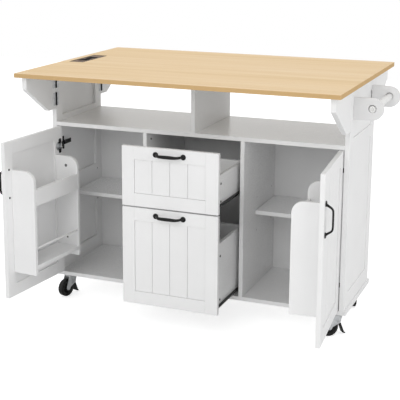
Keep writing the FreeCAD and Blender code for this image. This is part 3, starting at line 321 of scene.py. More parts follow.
# Inside the pin holes: the raw board's brown, made far darker as painted shade of the holes.
pin_hole_painted_shade = "cabinet_white", moulded("hole_board_with_painted_shade", "#2E2620", 0.9, 1.5, 0.1, 0.1)


def dress(look, *names):
    """Gives CAD nodes a look's material on their own slots."""
    for name in names:
        cad_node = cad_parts[name]
        if not cad_node.material_slots:
            cad_node.data.materials.append(None)
        for entry in cad_node.material_slots:
            entry.link = "OBJECT"
            entry.material = look[1]


# Shapes: closed bmeshes in millimetres, eased, drilled and placed when finished

ORDER = {"x": (2, 0, 1), "y": (0, 2, 1), "z": (0, 1, 2)}


def point_at(shape, axis, a, b, along):
    """A new point from two places across an axis, and its place along it."""
    return shape.verts.new([(a, b, along)[part] for part in ORDER[axis]])


def skinned(shape, rings):
    """Caps on the first and last ring, and faces between rings of as many points each."""
    for ring in (rings[0], rings[-1]):
        shape.faces.new(ring)
    for low, high in zip(rings, rings[1:]):
        for step in range(len(low)):
            after = (step + 1) % len(low)
            shape.faces.new((low[step], low[after], high[after], high[step]))


def block(shape, x, y, z):
    """A box between two faces along each axis."""
    for corner in bmesh.ops.create_cube(shape, size=1)["verts"]:
        corner.co = [faces[1] if part > 0 else faces[0] for faces, part in zip((x, y, z), corner.co)]


def blocks(*boxes):
    """A new shape of boxes, each by its faces along each axis."""
    shape = bmesh.new()
    for box in boxes:
        block(shape, *box)
    return shape


def prism(shape, outline, axis, low, high):
    """An outline across an axis, drawn out along it."""
    skinned(shape, [[point_at(shape, axis, a, b, level) for a, b in outline] for level in (low, high)])


def turned(shape, profile, axis, centre, count=40, closed=False):
    """A profile of (place along the axis, radius) turned about it; a radius of 0 closes an end."""
    rings = []
    for along, radius in profile:
        angles = [2 * math.pi * step / count for step in range(count if radius else 1)]
        rings.append([point_at(shape, axis, centre[0] + radius * math.cos(angle),
                               centre[1] + radius * math.sin(angle), along) for angle in angles])
    for low, high in list(zip(rings, rings[1:])) + ([(rings[-1], rings[0])] if closed else []):
        for step in range(count):
            after = step + 1
            places = ((low, step), (low, after), (high, after), (high, step))
            unique = list(dict.fromkeys(ring[place % len(ring)] for ring, place in places))
            if len(unique) > 2:
                shape.faces.new(unique)


def tube(shape, axis, ends, centre, inner, outer, count):
    """A round sleeve between two places along an axis."""
    wall = [(ends[0], inner), (ends[0], outer), (ends[1], outer), (ends[1], inner)]
    turned(shape, wall, axis, centre, count, closed=True)


def rod(shape, axis, ends, centre, radius, count=24):
    """A round bar between two places along an axis."""
    turned(shape, [(ends[0], 0), (ends[0], radius), (ends[1], radius), (ends[1], 0)], axis, centre, count)


def arc(centre, radius, start, end, steps):
    """Points of an arc from one angle to another, in degrees."""
    angles = [math.radians(start + (end - start) * step / steps) for step in range(steps + 1)]
    return [(centre[0] + radius * math.cos(angle), centre[1] + radius * math.sin(angle)) for angle in angles]


def round_block(shape, centre, half, radius, z):
    """An upright block with round corners, from its centre and half sizes."""
    steps = 6
    (x, y), reach_x, reach_y = centre, half[0] - radius, half[1] - radius
    outline = []
    for right, back, start in ((1, 1, 0), (-1, 1, 90), (-1, -1, 180), (1, -1, 270)):
        outline += arc((x + right * reach_x, y + back * reach_y), radius, start, start + 90, steps)
    prism(shape, outline, "z", *z)


def poured(shape, source, turn):
    """Adds one shape to another through a turn."""
    bmesh.ops.transform(source, matrix=turn, verts=source.verts)
    carrier = bpy.data.meshes.new("carrier")
    source.to_mesh(carrier)
    source.free()
    shape.from_mesh(carrier)
    bpy.data.meshes.remove(carrier)


def baked(piece):
    """Replaces a piece's mesh by what its modifiers make of it."""
    bpy.context.view_layer.update()
    graph = bpy.context.evaluated_depsgraph_get()
    made = piece.evaluated_get(graph)
    mesh = bpy.data.meshes.new_from_object(made, preserve_all_data_layers=True, depsgraph=graph)
    piece.modifiers.clear()
    piece.data = mesh
    mesh.name = piece.name


def linked(name, shape, turn):
    """An object from a shape, its place in its mesh, in metres."""
    mesh = bpy.data.meshes.new(name)
    shape.to_mesh(mesh)
    shape.free()
    mesh.transform(Matrix.Scale(MM, 4) @ turn)
    if turn.determinant() < 0:
        mesh.flip_normals()
    return added(name, mesh)


SHARP_EDGE, SHARP_SHADING = math.radians(30), math.radians(50)


def finished(name, shape, look, body="cabinet", ease=0.4, steps=2, turn=Matrix(), bores=None, replaced=None):
    """Eases a shape's edges, bores it, places it, shades it by area and puts it on its body."""
    slot, material = look
    bmesh.ops.recalc_face_normals(shape, faces=shape.faces)
    if ease:
        sharp = [edge for edge in shape.edges if edge.calc_face_angle(0) > SHARP_EDGE]
        bmesh.ops.bevel(shape, geom=sharp, offset=ease, segments=steps, profile=0.5, affect="EDGES",
                        clamp_overlap=True)
    piece = linked(name, shape, turn)
    if bores:
        bmesh.ops.recalc_face_normals(bores, faces=bores.faces)
        cutter = linked(name + "_bores", bores, turn)
        difference = piece.modifiers.new("bores", "BOOLEAN")
        difference.operation = "DIFFERENCE"
        difference.solver = "EXACT"
        difference.use_self = True
        difference.object = cutter
        baked(piece)
        bpy.data.objects.remove(cutter)
    piece.data.shade_smooth()
    piece.data.set_sharp_from_angle(angle=SHARP_SHADING)
    weighted = piece.modifiers.new("shading", "WEIGHTED_NORMAL")
    weighted.keep_sharp = True
    baked(piece)
    piece.data.materials.clear()
    piece.data.materials.append(material)
    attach(piece, body)
    if replaced:
        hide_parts(replaced)


def span(name):
    """The faces of a CAD node along each axis, in millimetres."""
    low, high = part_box(name)
    return [(low[axis] / MM, high[axis] / MM) for axis in range(3)]


def mirror(hand):
    """Keeps the left hand, and turns it into the right hand for -1."""
    return Matrix.Diagonal((hand, 1, 1, 1))


# Cabinet boards

def pin_bores(face, inward):
    """Cutters for the shelf pin holes in a face across X."""
    bores = bmesh.new()
    ends = sorted((face - inward * OVERRUN, face + inward * PIN_BORE_DEPTH))
    for spot in PIN_SPOTS:
        rod(bores, "x", ends, spot, PIN_BORE, PIN_SIDES)
    return bores


def make_boards():
    """Plain boards, and the two dividers with their shelf pin holes."""
    for name in ("deck", "bottom_panel", "back_panel", "centre_divider", "left_shelf", "right_shelf"):
        finished(name + "_board", blocks(span(name)), melamine, ease=0.5, replaced=name)
    for side, hand in HANDS.items():
        name = f"{side}_divider"
        board = blocks(((-DIVIDER_OUT, -BAY_HALF), *span("left_divider")[1:]))
        finished(name + "_board", board, melamine, ease=0.5, turn=mirror(hand),
                 bores=pin_bores(-DIVIDER_OUT, 1), replaced=name)


def make_ends():
    """Each end: stiles full height, three rails between them, a pin rail inside and a base trim."""
    stile, low_rail_top, middle_rail, head_rail = 50, 166, (684, 729), (859, UNDER_TOP)
    pin_rail, trim, trim_top = (318, 476), 6, 112
    panel_face, panel_step, panel_back, tongue, reveal, overlap = -577, -574.5, -572, 3, 0.5, 0.3
    inner, thickness = (FRONT + stile, BACK - stile), (-HALF, -INSIDE)
    stiles = ((FRONT, inner[0]), (inner[1], BACK))
    rails = ((FLOOR_UNDER, low_rail_top), middle_rail, head_rail)
    for side, hand in HANDS.items():
        shape = blocks(*[(thickness, y, (FLOOR_UNDER, UNDER_TOP)) for y in stiles],
                       *[(thickness, inner, z) for z in rails], ((panel_back, -INSIDE), inner, pin_rail))
        hook = [(-HALF - trim, FRONT), (-HALF, FRONT), (-HALF, BACK), (-INSIDE, BACK), (-INSIDE, BACK + trim),
                (-HALF - trim, BACK + trim)]
        prism(shape, hook, "z", FLOOR_UNDER, trim_top)
        finished(f"{side}_end_frame", shape, white_film, ease=0.7,
                 turn=mirror(hand), bores=pin_bores(-INSIDE, -1), replaced=f"{side}_side_frame")
        panels = bmesh.new()
        for low, high in ((low_rail_top, middle_rail[0]), (middle_rail[1], head_rail[0])):
            block(panels, (panel_step, panel_back), (inner[0] - tongue, inner[1] + tongue),
                  (low - tongue, high + tongue))
            block(panels, (panel_face, panel_step + overlap), (inner[0] + reveal, inner[1] - reveal),
                  (low + reveal, high - reveal))
        finished(f"{side}_end_panels", panels, white_film, turn=mirror(hand), replaced=f"{side}_side_panel")


def line_pin_holes():
    """Linings in the free shelf pin holes of the dividers and ends: the raw board's brown, darkened as
    painted shade of the holes.
    """
    outer, inner = PIN_BORE - 0.05, PIN_BORE - 0.35
    depths = (0.1, PIN_BORE_DEPTH - 0.05, PIN_BORE_DEPTH - 0.5)
    linings = bmesh.new()
    for hand in HANDS.values():
        for face, inward in ((-DIVIDER_OUT, 1), (-INSIDE, -1)):
            mouth, floor, ledge = [hand * (face + inward * depth) for depth in depths]
            cup = [(floor, 0), (floor, outer), (mouth, outer), (mouth, inner), (ledge, inner), (ledge, 0)]
            for spot in PIN_SPOTS:
                turned(linings, cup, "x", spot, PIN_SIDES)
    finished("pin_hole_linings", linings, pin_hole_painted_shade, ease=0)


def make_towel_rack():
    """Two round-nosed boards and a lacquered bar that stops short of the front board's face."""
    centre, nose, sides = (TOWEL_X, TOWEL_Z), 38.5, 48
    bar, bore, tight = 12, 14.2, 12.1
    shape = bmesh.new()
    outline = [(HALF, TOWEL_Z - nose), *arc(centre, nose, -90, 90, 24), (HALF, TOWEL_Z + nose)]
    for y in TOWEL_BOARDS:
        prism(shape, outline, "y", *y)
    # The bar lies on the bottom of bores that are a little wider than it is, and fits tight at their ends.
    bores = bmesh.new()
    for y in ((-158, -145), (127, 137)):
        rod(bores, "y", y, (TOWEL_X, TOWEL_Z + bore - bar), bore, sides)
    rod(bores, "y", (-146, -141), centre, tight, sides)
    # The boards' greyer white is painted shade.
    finished("towel_boards", shape, towel_painted_shade_white, ease=1.6, steps=3, bores=bores, replaced="towel_brackets")
    # A ring is sunk in the bar's front end, round its screw.
    front, back, chamfer, ring, ring_depth = -153.5, 137, 1.2, (3.4, 5), 2
    profile = [(front, 0), (front, ring[0]), (front + ring_depth, ring[0]), (front + ring_depth, ring[1]),
               (front, ring[1]), (front, bar - chamfer), (front + chamfer, bar),
               (back - 1, bar), (back, bar - 1), (back, 0)]
    rail = bmesh.new()
    turned(rail, profile, "y", centre, sides)
    finished("towel_rail", rail, white_lacquer, ease=0, replaced="towel_bar")


# Framed fronts, drawers and doors

def framed_front(body, x, y, z, turn, frame_node, bores=None):
    """Two stiles with two rails between them, and a panel of planks on a backing."""
    tongue, overlap = 3, 0.3
    depth = (y, y + FRONT_THICKNESS)
    inner = (x[0] + RAIL, x[1] - RAIL)
    boards = blocks(*[(stile, depth, z) for stile in ((x[0], inner[0]), (inner[1], x[1]))],
                    *[(inner, depth, rail) for rail in ((z[0], z[0] + RAIL), (z[1] - RAIL, z[1]))])
    finished(body + "_frame_boards", boards, white_film, body, ease=0.9, turn=turn, bores=bores,
             replaced=frame_node)
    panel = blocks(((inner[0] - tongue, inner[1] + tongue), (y + BEAD_FLOOR, y + PANEL_BACK),
                    (z[0] + RAIL - tongue, z[1] - RAIL + tongue)))
    pitch = (inner[1] - inner[0]) / PLANKS
    for plank in range(PLANKS):
        start = inner[0] + plank * pitch + (BEAD_GAP if plank else REVEAL)
        end = inner[0] + (plank + 1) * pitch - (BEAD_GAP if plank < PLANKS - 1 else REVEAL)
        block(panel, (start, end), (y + PANEL_SETBACK, y + BEAD_FLOOR + overlap),
              (z[0] + RAIL + REVEAL, z[1] - RAIL - REVEAL))
    finished(body + "_planks", panel, white_film, body, ease=0.7, turn=turn, replaced=f"{body}_panel")


def make_handle(body, centre, along, across, turn):
    """A bow handle on a face at centre, standing out towards -Y: round feet and a flat, swelling bar."""
    centre, along, across, outward = Vector(centre), Vector(along), Vector(across), Vector((0, -1, 0))
    thin, shoulder, neck, swell, reach, sides = 3.2, 1.8, 3.8, 2.6, 24.8, 16
    # The bar's middle line from one foot to its middle: distance from the foot's axis, and height.
    rise = [(2, 1.5), (5, 6), (9, 12.5), (12.5, 18), (17, 22.2), (22, 24.2), (32, reach), (42, reach)]
    path = [Vector((place - HANDLE_HALF, height)) for place, height in rise]
    path += [Vector((-point.x, point.y)) for point in reversed(path)]
    shape = bmesh.new()
    rings = []
    for number, point in enumerate(path):
        before, after = path[max(number - 1, 0)], path[min(number + 1, len(path) - 1)]
        tangent = (after - before).normalized()
        outer_share = (point.x / HANDLE_HALF) ** 2
        width = neck + swell * (1 - outer_share)
        thickness = thin + shoulder * outer_share ** 3
        ring = []
        for step in range(sides):
            angle = 2 * math.pi * step / sides
            depth, side = thickness * math.cos(angle), width * math.sin(angle)
            spot = centre + along * (point.x - tangent.y * depth) + outward * (point.y + tangent.x * depth)
            ring.append(shape.verts.new(spot + across * side))
        rings.append(ring)
    skinned(shape, rings)
    foot = [(0, 0), (0, 10), (1.6, 10), (3.2, 8.8), (4, 6), (4, 0)]
    for end in (-HANDLE_HALF, HANDLE_HALF):
        middle = centre + along * end
        turned(shape, [(middle.y - height, radius) for height, radius in foot], "y", (middle.x, middle.z), 28)
    finished(body + "_bow", shape, black_powder, body, ease=0, turn=turn, replaced=f"{body}_handle")


def make_drawers():
    """Each drawer: a framed front with its handle, and a box of boards with its bottom let in."""
    handle_drop, bottom = 23.5, (6, 11)
    slid = Matrix.Translation((0, DRAWER_TRAVEL, 0))
    start, inside = FRONT + FRONT_THICKNESS, BOX_HALF - BOX_WALL
    end, width = start + BOX_LENGTH, (-inside, inside)
    for name, front_z in FRONTS.items():
        body = f"{name}_drawer"
        framed_front(body, (-DRAWER_HALF, DRAWER_HALF), FRONT, front_z, slid, f"{body}_front")
        make_handle(body, (0, FRONT, front_z[1] - handle_drop), (1, 0, 0), (0, 0, 1), slid)
        z = BOXES[name]
        box = blocks(*[(x, (start, end), z) for x in ((-BOX_HALF, -inside), (inside, BOX_HALF))],
                     *[(width, y, z) for y in ((start, start + BOX_WALL), (end - BOX_WALL, end))],
                     (width, (start + BOX_WALL, end - BOX_WALL), [z[0] + rise for rise in bottom]))
        finished(body + "_tray", box, melamine, body, ease=0.6, turn=slid, replaced=f"{body}_box")


def door_turn(side):
    """From the closed door's own coordinates at its pivot to where the open door stands."""
    hand = HANDS[side]
    swing = Matrix.Rotation(math.radians(DOOR_TURN[side]), 4, "Z")
    return Matrix.Translation((-hand * PIVOT_X, PIVOT_Y, 0)) @ swing @ mirror(hand)


def make_doors():
    """Each door: a framed front bored for its hinge cups, its handle, and the rack on its back."""
    cup_bore, cup_bore_depth = 17.5, 13.5
    rack_front, rack_low, round_centre, rounding = DOOR_BACK + 97, 203, 548, 40
    board, upper_tray, rail_top, lower_tray, bar, bar_radius = 12, 462, 524, (225, 240), (106, 303), 4
    outline = [(DOOR_BACK, rack_low), (rack_front, rack_low),
               *arc((rack_front - rounding, round_centre), rounding, 0, 90, 12),
               (DOOR_BACK, round_centre + rounding)]
    for side in HANDS:
        body, turn = f"{side}_door", door_turn(side)
        bores = bmesh.new()
        for z in HINGE_HEIGHTS:
            rod(bores, "y", (DOOR_BACK - cup_bore_depth, DOOR_BACK + OVERRUN), (CUP_X, z), cup_bore, 40)
        framed_front(body, (DOOR_EDGE, DOOR_EDGE + DOOR_WIDTH), DOOR_FRONT, (DOOR_LOW, DOOR_HIGH), turn,
                     f"{body}_frame", bores)
        make_handle(body, (HANDLE_X, DOOR_FRONT, HANDLE_Z), (0, 0, 1), (1, 0, 0), turn)
        uprights = bmesh.new()
        for x in (RACK_INSIDE[0] - RACK_BOARD, RACK_INSIDE[1]):
            prism(uprights, outline, "x", x, x + RACK_BOARD)
        finished(f"{side}_rack_uprights", uprights, white_film, body, ease=1.3, steps=3,
                 turn=turn, replaced=f"{side}_rack_sides")
        trays = blocks((RACK_INSIDE, (DOOR_BACK, rack_front - board), (upper_tray, upper_tray + board)),
                       (RACK_INSIDE, (rack_front - board, rack_front), (upper_tray, rail_top)),
                       (RACK_INSIDE, (DOOR_BACK, rack_front), lower_tray))
        rod(trays, "x", RACK_INSIDE, bar, bar_radius, 20)
        finished(f"{side}_rack_shelves", trays, white_film, body, ease=1.0, turn=turn,
                 replaced=f"{side}_rack_trays")


def make_cups():
    """Each hinge cup: a hollow pressed bowl, two curved links on studs, and a flange of two ears."""
    inner, outer, first, last = 16.2, 17.7, 40, 104.2
    link_low, link_high, stud_top, stud_radius, flange = 8.3, 10.3, 12, 1.2, 1.2
    strip = arc((0, 0), inner, first, last, 12) + arc((0, 0), outer, last, first, 12)
    stud = [inner * part(math.radians(first)) + 0.75 for part in (math.cos, math.sin)]
    # Depth below the door's back, and radius: outside from the middle to the mouth, then back inside
    pressing = [(13.3, 0), (13.3, 15.5), (11.5, 17.3), (-0.1, 17.3), (-0.1, 16.5), (11.3, 16.5), (12.6, 15),
                (12.6, 0)]
    ear = [(2.2, 11.4), (19.5, 11.4), (19.5, 25), (16.5, 28), (6.5, 28), (4.5, 26)]
    for side in HANDS:
        body, turn = f"{side}_door", door_turn(side)
        bowls, flanges = bmesh.new(), bmesh.new()
        for height in HINGE_HEIGHTS:
            turned(bowls, [(DOOR_BACK - depth, radius) for depth, radius in pressing], "y", (CUP_X, height))
            for end in BOTH_WAYS:
                prism(flanges, strip, "z", height + end * link_low, height + end * link_high)
                rod(flanges, "z", (height + end * link_low, height + end * stud_top), stud, stud_radius, 12)
                prism(flanges, [(x, height + end * z) for x, z in ear], "y", DOOR_BACK, DOOR_BACK + flange)
        finished(f"{side}_cup_bowls", bowls, hinge_zinc, body, ease=0, turn=turn,
                 replaced=f"{side}_hinge_cups")
        finished(f"{side}_cup_flanges", flanges, black_steel, body, ease=0.2, turn=turn)


# Worktop brackets and their butt hinges

def corner_turn(corner):
    """From a bracket's own coordinates at its hinge pin to its corner of the cabinet."""
    hand, facing = CORNERS[corner]
    turn = Matrix.Rotation(0 if facing > 0 else math.pi, 4, "Z")
    return Matrix.Translation((-hand * BUTT_X, -facing * BUTT_Y, 0)) @ turn @ mirror(hand * facing)


THIRD, KNUCKLE_GAP = BUTT_HEIGHT / 3, 0.4


def make_brackets():
    """Each bracket: a pointed board with its swinging hinge leaves and their middle knuckles."""
    low, nose, length, foot = BRACKET_TOP - 149, BRACKET_TOP - 45, 213.5, 55
    board_x, board_edge, leaf_edge, corner_cut = (-21, -3), -1, -3.1, 2
    outline = [(board_edge, low), (-foot, low), (-length + 1.5, nose - corner_cut),
               (-length, nose + corner_cut), (-length, BRACKET_TOP - corner_cut),
               (-length + corner_cut, BRACKET_TOP), (board_edge, BRACKET_TOP)]
    for corner in CORNERS:
        body, turn = f"{corner}_bracket", corner_turn(corner)
        board = bmesh.new()
        prism(board, outline, "x", *board_x)
        finished(body + "_board", board, white_film, body, ease=1.0, steps=3, turn=turn, replaced=body)
        leaves, knuckles = bmesh.new(), bmesh.new()
        for z in BUTT_LOWS:
            middle = (z + THIRD + KNUCKLE_GAP, z + 2 * THIRD - KNUCKLE_GAP)
            block(leaves, LEAF, (-19, leaf_edge), (z, z + BUTT_HEIGHT))
            block(leaves, LEAF, (leaf_edge - 0.1, -1.9), middle)
            tube(knuckles, "z", middle, (0, 0), PIN_RADIUS + 0.1, KNUCKLE_RADIUS, KNUCKLE_SIDES)
        finished(body + "_leaves", leaves, hinge_zinc, body, ease=0.2, turn=turn)
        finished(body + "_knuckles", knuckles, black_steel, body, ease=0.2, turn=turn)


def make_fixed_leaves():
    """The fixed leaves on the cabinet's ends, and their outer knuckles on the pins."""
    leaf_edge, gap = 3.1, KNUCKLE_GAP / 2
    leaves, knuckles = bmesh.new(), bmesh.new()
    for corner in CORNERS:
        plates, rolls = bmesh.new(), bmesh.new()
        for z in BUTT_LOWS:
            block(plates, LEAF, (leaf_edge, 19), (z, z + BUTT_HEIGHT))
            rod(rolls, "z", (z, z + BUTT_HEIGHT), (0, 0), PIN_RADIUS, 16)
            for low in (z, z + 2 * THIRD):
                block(plates, LEAF, (1.9, leaf_edge + 0.1), (low + gap, low + THIRD - gap))
                tube(rolls, "z", (low, low + THIRD), (0, 0), PIN_RADIUS + 0.05, KNUCKLE_RADIUS, KNUCKLE_SIDES)
        poured(leaves, plates, corner_turn(corner))
        poured(knuckles, rolls, corner_turn(corner))
    finished("fixed_leaves", leaves, hinge_zinc, ease=0.2, replaced="bracket_hinge_leaves")
    finished("hinge_knuckles", knuckles, black_steel, ease=0.2)


# Casters, on the swivel axis with the wheel trailing towards -Y

def caster_turn(corner):
    """From a caster's own coordinates at its swivel axis to where it stands."""
    hand, facing = CORNERS[corner]
    swivel = Matrix.Rotation(math.radians(CASTER_TURN[corner]), 4, "Z")
    return Matrix.Translation((-hand * CASTER_X, -facing * CASTER_Y, 0)) @ swivel


def make_fork(corner, turn):
    """A pressed fork under its ball race, with the axle, its nuts and, in front, the brake's pin."""
    half, eye, kingpin, nut, nut_height, pin, pin_proud = 20, 9, 5.4, 6.4, 2.4, 2.2, 1.5
    cheek = [(half, FORK_TOP), (-half, FORK_TOP), (AXLE[0] - eye, 41), *arc(AXLE, eye, 160, 320, 10),
             (AXLE[0] + 11, AXLE[1] + 2), (12, 50)]
    shape = bmesh.new()
    for x in ((-FORK_OUTER, -FORK_INNER), (FORK_INNER, FORK_OUTER)):
        prism(shape, cheek, "x", *x)
    block(shape, (-FORK_OUTER, FORK_OUTER), (-half, half), (FORK_TOP - 3, FORK_TOP))
    # The race's height over the fork's top, and radius
    race = [(-1, kingpin), (-1, 20), (0, 21.4), (2.6, 22), (4, 21), (4, kingpin)]
    turned(shape, [(FORK_TOP + rise, radius) for rise, radius in race], "z", (0, 0), closed=True)
    rod(shape, "x", (-FORK_OUTER, FORK_OUTER), AXLE, 4)
    for side in BOTH_WAYS:
        rod(shape, "x", sorted((side * FORK_OUTER, side * (FORK_OUTER + nut_height))), AXLE, nut, 6)
    if corner.startswith("front"):
        rod(shape, "x", (-FORK_OUTER - pin_proud, FORK_OUTER + pin_proud), BRAKE_PIVOT, pin, 20)
    finished(f"{corner}_fork", shape, caster_zinc, f"{corner}_caster", ease=0.5, turn=turn,
             replaced=f"{corner}_caster_fork")


def make_wheel(corner, turn):
    """A rubber tread with a crowned face on a ribbed plastic centre."""
    body, half, seat, rounding, sides, ribs = f"{corner}_wheel", 11.5, 25.5, 4, 64, 8
    shoulder = (half - rounding, WHEEL_RADIUS - rounding)
    crown = [(-half, seat), *arc((-shoulder[0], shoulder[1]), rounding, 180, 90, 6), (0, WHEEL_RADIUS),
             *arc(shoulder, rounding, 90, 0, 6), (half, seat)]
    tread = bmesh.new()
    turned(tread, crown, "x", AXLE, sides, closed=True)
    finished(body + "_tread", tread, wheel_rubber, body, ease=0, turn=turn, replaced=body)
    # One side of the centre from its bore to its rim: distance from the wheel's middle, and radius
    dish = [(half, 4.3), (half, 10), (7.5, 12), (7.5, 21.5), (10.8, 23.5), (11.2, 25.6)]
    centre = bmesh.new()
    turned(centre, [(-place, radius) for place, radius in dish] + dish[::-1], "x", AXLE, sides, closed=True)
    for number in range(ribs):
        spoke = Matrix.Translation((0, *AXLE)) @ Matrix.Rotation(2 * math.pi * number / ribs, 4, "X")
        for x in ((-10.6, -6.5), (6.5, 10.6)):
            poured(centre, blocks((x, (9.5, 23.8), (-1.2, 1.2))), spoke)
    finished(body + "_centre", centre, wheel_core, body, ease=0, turn=turn)


def make_brake(corner, turn):
    """A brake pedal on its pin: a hub, a stiff web and a tip with four tread bars."""
    half, grip_half, bars, pitch = 11, 9, 4, 3
    (y, z), thick = BRAKE_PIVOT, 3
    tip_y, tip_z, toe = y + 20, z - 46, 8
    outline = [(y, z + thick), (y + thick, z + thick), (tip_y + thick, tip_z), (tip_y + toe, tip_z - thick),
               (tip_y + toe, tip_z - 2 * thick), (tip_y - thick, tip_z - thick), (y, z - thick)]
    shape = bmesh.new()
    prism(shape, outline, "x", -half, half)
    tube(shape, "x", (-half, half), BRAKE_PIVOT, 2.6, 5, 28)
    block(shape, (-half, half), (10.5, 15.4), (36, 46))
    for number in range(bars):
        along = 2 * pitch + number * pitch
        bar_y, bar_z = tip_y + toe - along * 0.86, tip_z - 3.2 + along * 0.5
        block(shape, (-grip_half, grip_half), (bar_y, bar_y + 1), (bar_z, bar_z + 1.2))
    finished(f"{corner}_brake_pedal", shape, pedal_plastic, f"{corner}_brake", ease=0.6, turn=turn,
             replaced=f"{corner}_brake_lever")


# Power unit in the worktop

def make_power_unit():
    """A flush rim, a face plate, two sockets with a bridge between them, and two charger ports."""
    def level(low, high):
        return WORKTOP_TOP + low, WORKTOP_TOP + high

    def plate(shape, inset, radius, z):
        half = (POWER_HALF_X - inset, POWER_HALF_Y - inset)
        round_block(shape, (POWER_X, POWER_Y), half, radius, z)

    def strip(shape, half_x, y, z):
        block(shape, (POWER_X - half_x, POWER_X + half_x), y, z)

    opening, socket, through = (19, 19), (18.6, 18.6), level(-4, 2)
    link = (SOCKETS[0] + 18, SOCKETS[1] - 18)
    ports = [CHARGER_Y + way * PORT_OFFSET for way in BOTH_WAYS]
    rim, face, sockets, bridge, charger = [bmesh.new() for piece in range(5)]
    wells, holes, slots = [bmesh.new() for cutter in range(3)]
    plate(rim, 0, 7, level(-2, 0))
    plate(wells, 4, 4, level(-0.7, 1))
    plate(face, 4.2, 3.8, level(-1.6, -0.3))
    for cutter in (wells, holes):
        for y in SOCKETS:
            round_block(cutter, (POWER_X, y), opening, 5, through)
    strip(holes, 14, link, through)
    for y in ports:
        round_block(holes, (POWER_X, y), (6.6, 3), 0.8, through)
    finished("power_rim", rim, black_abs, ease=0.35, bores=wells, replaced="power_bezel")
    finished("power_face", face, grey_abs, ease=0.15, bores=holes)
    for y in SOCKETS:
        round_block(sockets, (POWER_X, y), socket, 4.7, level(-20, -0.2))
        for x, half in ((POWER_X - 6.3, 3.6), (POWER_X + 6.3, 4.3)):
            block(slots, (x - 1, x + 1), (y + 4 - half, y + 4 + half), level(-12, 1))
        rod(slots, "z", level(-12, 1), (POWER_X, y - 8), 2.6, 20)
    finished("power_socket_faces", sockets, black_abs, ease=0.5, bores=slots, replaced="power_sockets")
    strip(bridge, 13.7, (link[0] + 0.8, link[1] - 0.8), level(-1.9, -0.5))
    finished("power_socket_bridge", bridge, black_abs, ease=0.2)
    strip(charger, 10, (CHARGER_Y - 13, CHARGER_Y + 13), level(-20, -6))
    for y in ports:
        strip(charger, 5.4, (y - 0.9, y + 0.9), level(-7, -1.6))
    finished("power_charger_ports", charger, dark_inside, ease=0.1)


# Fasteners that repeat, made by Geometry Nodes on points and baked into one mesh a body

HEAD_SIZES = ("Head Radius", "Head Height", "Recess Width", "Recess Depth")
# In millimetres, for each kind of head
HEADS = {"leaf": (2.6, 0.7, 0.7, 0.5), "cup": (3.6, 1.2, 0.9, 0.8), "handle": (4.2, 1.6, 1.0, 1.0),
         "cam": (5.8, 0.6, 1.6, 0.5), "rack": (3.4, 1.2, 0.9, 0.8), "plate": (3.2, 1.2, 0.9, 0.8),
         "drawer": (4.6, 1.4, 1.0, 0.8), "bay": (4.0, 1.5, 1.0, 1.0), "back": (3.4, 0.9, 0.9, 0.6),
         "bolt": (4.6, 3, 0.8, 0.3), "towel": (3.3, 0.8, 0.9, 0.6)}


def fastener_tree(name, sides, crossed):
    """Heads on every point, each facing the point's own direction and turned by a seeded amount."""
    crown_share, recess_share, seed = 0.72, 1.15, 11
    tree = bpy.data.node_groups.new(name, "GeometryNodeTree")
    sockets = [("Points", "Geometry"), *[(size, "Float") for size in HEAD_SIZES], ("Finish", "Material")]
    for label, kind in sockets:
        tree.interface.new_socket(label, in_out="INPUT", socket_type="NodeSocket" + kind)
    tree.interface.new_socket("Fasteners", in_out="OUTPUT", socket_type="NodeSocketGeometry")
    given = node(tree, "NodeGroupInput").outputs
    radius, height, width, depth = [given[size] for size in HEAD_SIZES]
    crown = maths("MULTIPLY", radius, crown_share)
    head = output(tree, "GeometryNodeMeshCone", {
        "Vertices": sides, "Radius Top": crown, "Radius Bottom": radius, "Depth": height})
    length = maths("MULTIPLY", radius, recess_share)
    tall = maths("MULTIPLY", depth, 2.0)
    lift = output(tree, "ShaderNodeCombineXYZ", {2: height})
    cutters = []
    for along, across in ((length, width), (width, length))[:2 if crossed else 1]:
        size = output(tree, "ShaderNodeCombineXYZ", {0: along, 1: across, 2: tall})
        bar = output(tree, "GeometryNodeMeshCube", {"Size": size})
        cutters.append(output(tree, "GeometryNodeTransform", {"Geometry": bar, "Translation": lift}))
    carved = output(tree, "GeometryNodeMeshBoolean", {"Mesh 1": head, "Mesh 2": cutters},
                    operation="DIFFERENCE", solver="EXACT")
    stored = node(tree, "GeometryNodeInputNamedAttribute", {"Name": "facing"}, data_type="FLOAT_VECTOR")
    facing = stored.outputs["Attribute"]
    aimed = output(tree, "FunctionNodeAlignRotationToVector", {"Vector": facing}, axis="Z")
    spin = node(tree, "FunctionNodeRandomValue", {2: 0.0, 3: math.pi, "Seed": seed}, data_type="FLOAT")
    about = output(tree, "ShaderNodeCombineXYZ", {2: spin.outputs[1]})
    turn = output(tree, "FunctionNodeEulerToRotation", {0: about})
    rotation = output(tree, "FunctionNodeRotateRotation", {0: aimed, 1: turn}, rotation_space="LOCAL")
    heads = output(tree, "GeometryNodeInstanceOnPoints", {
        "Points": given["Points"], "Instance": carved, "Rotation": rotation})
    real = output(tree, "GeometryNodeRealizeInstances", {"Geometry": heads})
    dressed = output(tree, "GeometryNodeSetMaterial", {"Geometry": real, "Material": given["Finish"]})
    node(tree, "NodeGroupOutput", {0: dressed})
    return tree


screw_heads = fastener_tree("crossed_screw_heads", 20, True)
bolt_heads = fastener_tree("hex_bolt_heads", 6, False)


